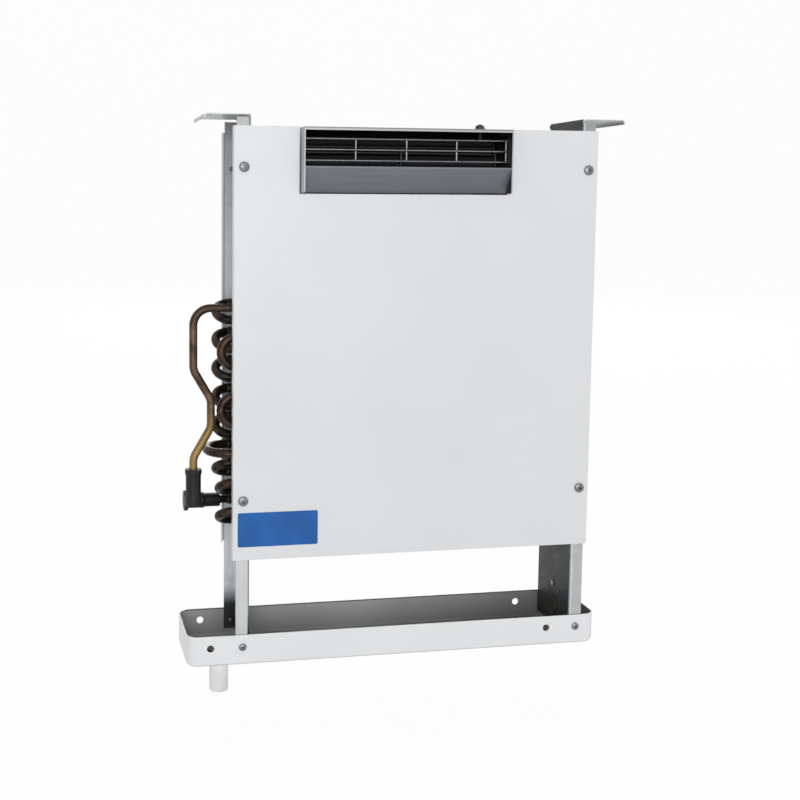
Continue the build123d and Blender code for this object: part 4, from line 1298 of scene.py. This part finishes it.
class EVAPORATOR_OT_stage(bpy.types.Operator):
    """Set the floor and backdrop, the lamps, the world and the camera"""
    bl_idname = "evaporator.stage"
    bl_label = "Stage"

    def execute(self, context):
        stage = settings("stage")
        self.add_backdrop(context)
        self.light_world(context, stage)
        self.add_lamp(context, "key_lamp", (-0.6, -4.2, 0.1), stage.key_power)
        self.add_lamp(context, "fill_lamp", (1.2, 3.6, 1.8), stage.fill_power)
        self.add_camera(context, stage)
        context.scene.view_settings.view_transform = "Standard"
        return {"FINISHED"}

    def add_backdrop(self, context):
        """A sheet that lies under the object and sweeps up behind it."""
        ground = cad_low.z - 1.0 * MM
        reach = 9.0
        radius = 3.0
        steps = 16
        turns = [math.pi / 2 * step / steps for step in range(1, steps + 1)]
        sweep = [(reach - radius + radius * math.sin(turn), ground + radius * (1 - math.cos(turn))) for turn in turns]
        profile = [(-reach, ground), (reach - radius, ground), *sweep, (reach, ground + reach)]
        points = [(x, y, z) for y, z in profile for x in (-reach, reach)]
        faces = [(first, first + 1, first + 3, first + 2) for first in range(0, len(points) - 2, 2)]
        mesh = bpy.data.meshes.new("backdrop")
        mesh.from_pydata(points, (), faces)
        mesh.shade_smooth()
        mesh.materials.append(self.paper())
        show(context, "backdrop", mesh)

    def paper(self):
        """White paper that the camera sees almost white, with the object's soft shadow on it."""
        made = bpy.data.materials.new("backdrop_paper")
        made.use_nodes = True
        tree = made.node_tree
        shader = tree.nodes["Principled BSDF"]
        shader.inputs["Base Color"].default_value = (0.95, 0.95, 0.95, 1.0)
        shader.inputs["Roughness"].default_value = 0.9
        glow = add(tree, "ShaderNodeEmission", {"Color": (1, 1, 1, 1), "Strength": 1.0})
        share = product(tree, seen_directly(tree), 0.96)
        blended = add(tree, "ShaderNodeMixShader", {0: share, 1: shader.outputs[0], 2: glow.outputs[0]})
        tree.links.new(blended.outputs[0], tree.nodes["Material Output"].inputs["Surface"])
        return made

    def light_world(self, context, stage):
        """White where it is seen directly or in a gloss, and a plain even light for the rest."""
        world = bpy.data.worlds.new("studio")
        context.scene.world = world
        world.use_nodes = True
        tree = world.node_tree
        even = tree.nodes["Background"]
        even.inputs["Color"].default_value = (1, 1, 1, 1)
        even.inputs["Strength"].default_value = stage.ambient
        white = add(tree, "ShaderNodeBackground", {"Color": (1, 1, 1, 1), "Strength": 1.0})
        blended = add(tree, "ShaderNodeMixShader", {0: seen_directly(tree), 1: even.outputs[0], 2: white.outputs[0]})
        tree.links.new(blended.outputs[0], tree.nodes["World Output"].inputs["Surface"])

    def add_lamp(self, context, name, place, power):
        """A large square lamp that looks at the object."""
        lamp = bpy.data.lights.new(name, "AREA")
        lamp.size = 2.6
        lamp.energy = power
        shown = show(context, name, lamp)
        target = (cad_low + cad_high) / 2
        shown.location = place
        shown.rotation_euler = (target - Vector(place)).to_track_quat("-Z", "Y").to_euler()

    def add_camera(self, context, stage):
        """The photograph's viewpoint."""
        turn, tilt, roll = stage.camera_turn, stage.camera_tilt, stage.camera_roll
        ahead = Vector((math.sin(turn) * math.cos(tilt), math.cos(turn) * math.cos(tilt), -math.sin(tilt)))
        level = Vector((math.cos(turn), -math.sin(turn), 0))
        down = ahead.cross(level)
        right = level * math.cos(roll) + down * math.sin(roll)
        up = level * math.sin(roll) - down * math.cos(roll)
        data = bpy.data.cameras.new("photo_camera")
        data.sensor_width = 36.0
        data.lens = stage.lens
        data.shift_x = stage.shift_x
        data.shift_y = stage.shift_y
        data.clip_start = 0.05
        data.clip_end = 50.0
        camera = show(context, "photo_camera", data)
        turned_to = Matrix((right, up, -ahead)).transposed().to_4x4()
        camera.matrix_world = Matrix.Translation(stage.camera_place) @ turned_to
        context.scene.camera = camera


OPERATORS = (
    EVAPORATOR_OT_finishes,
    EVAPORATOR_OT_coil,
    EVAPORATOR_OT_fins,
    EVAPORATOR_OT_pipes,
    EVAPORATOR_OT_caps,
    EVAPORATOR_OT_screws,
    EVAPORATOR_OT_hood_bolt,
    EVAPORATOR_OT_fan_wheel,
    EVAPORATOR_OT_grille,
    EVAPORATOR_OT_winding,
    EVAPORATOR_OT_drain,
    EVAPORATOR_OT_stage,
)


class EVAPORATOR_PT_sidebar(bpy.types.Panel):
    """Lists the steps and their values"""
    bl_label = "Counter evaporator"
    bl_idname = "EVAPORATOR_PT_sidebar"
    bl_space_type = "VIEW_3D"
    bl_region_type = "UI"
    bl_category = "Evaporator"

    def draw(self, context):
        for name, group in GROUPS.items():
            box = self.layout.box()
            box.label(text=group.__doc__)
            for value in group.__annotations__:
                box.prop(getattr(context.scene, name), value)
        for operator in OPERATORS:
            self.layout.operator(operator.bl_idname)


def register():
    for group in GROUPS.values():
        bpy.utils.register_class(group)
    for name, group in GROUPS.items():
        setattr(bpy.types.Scene, name, PointerProperty(type=group))
    for operator in OPERATORS:
        bpy.utils.register_class(operator)
    bpy.utils.register_class(EVAPORATOR_PT_sidebar)


def unregister():
    bpy.utils.unregister_class(EVAPORATOR_PT_sidebar)
    for operator in reversed(OPERATORS):
        bpy.utils.unregister_class(operator)
    for name in GROUPS:
        delattr(bpy.types.Scene, name)
    for group in reversed(GROUPS.values()):
        bpy.utils.unregister_class(group)


def main():
    register()
    for operator in OPERATORS:
        step = operator.bl_idname.split(".")[1]
        getattr(bpy.ops.evaporator, step)()


if __name__ == "__main__":
    main()
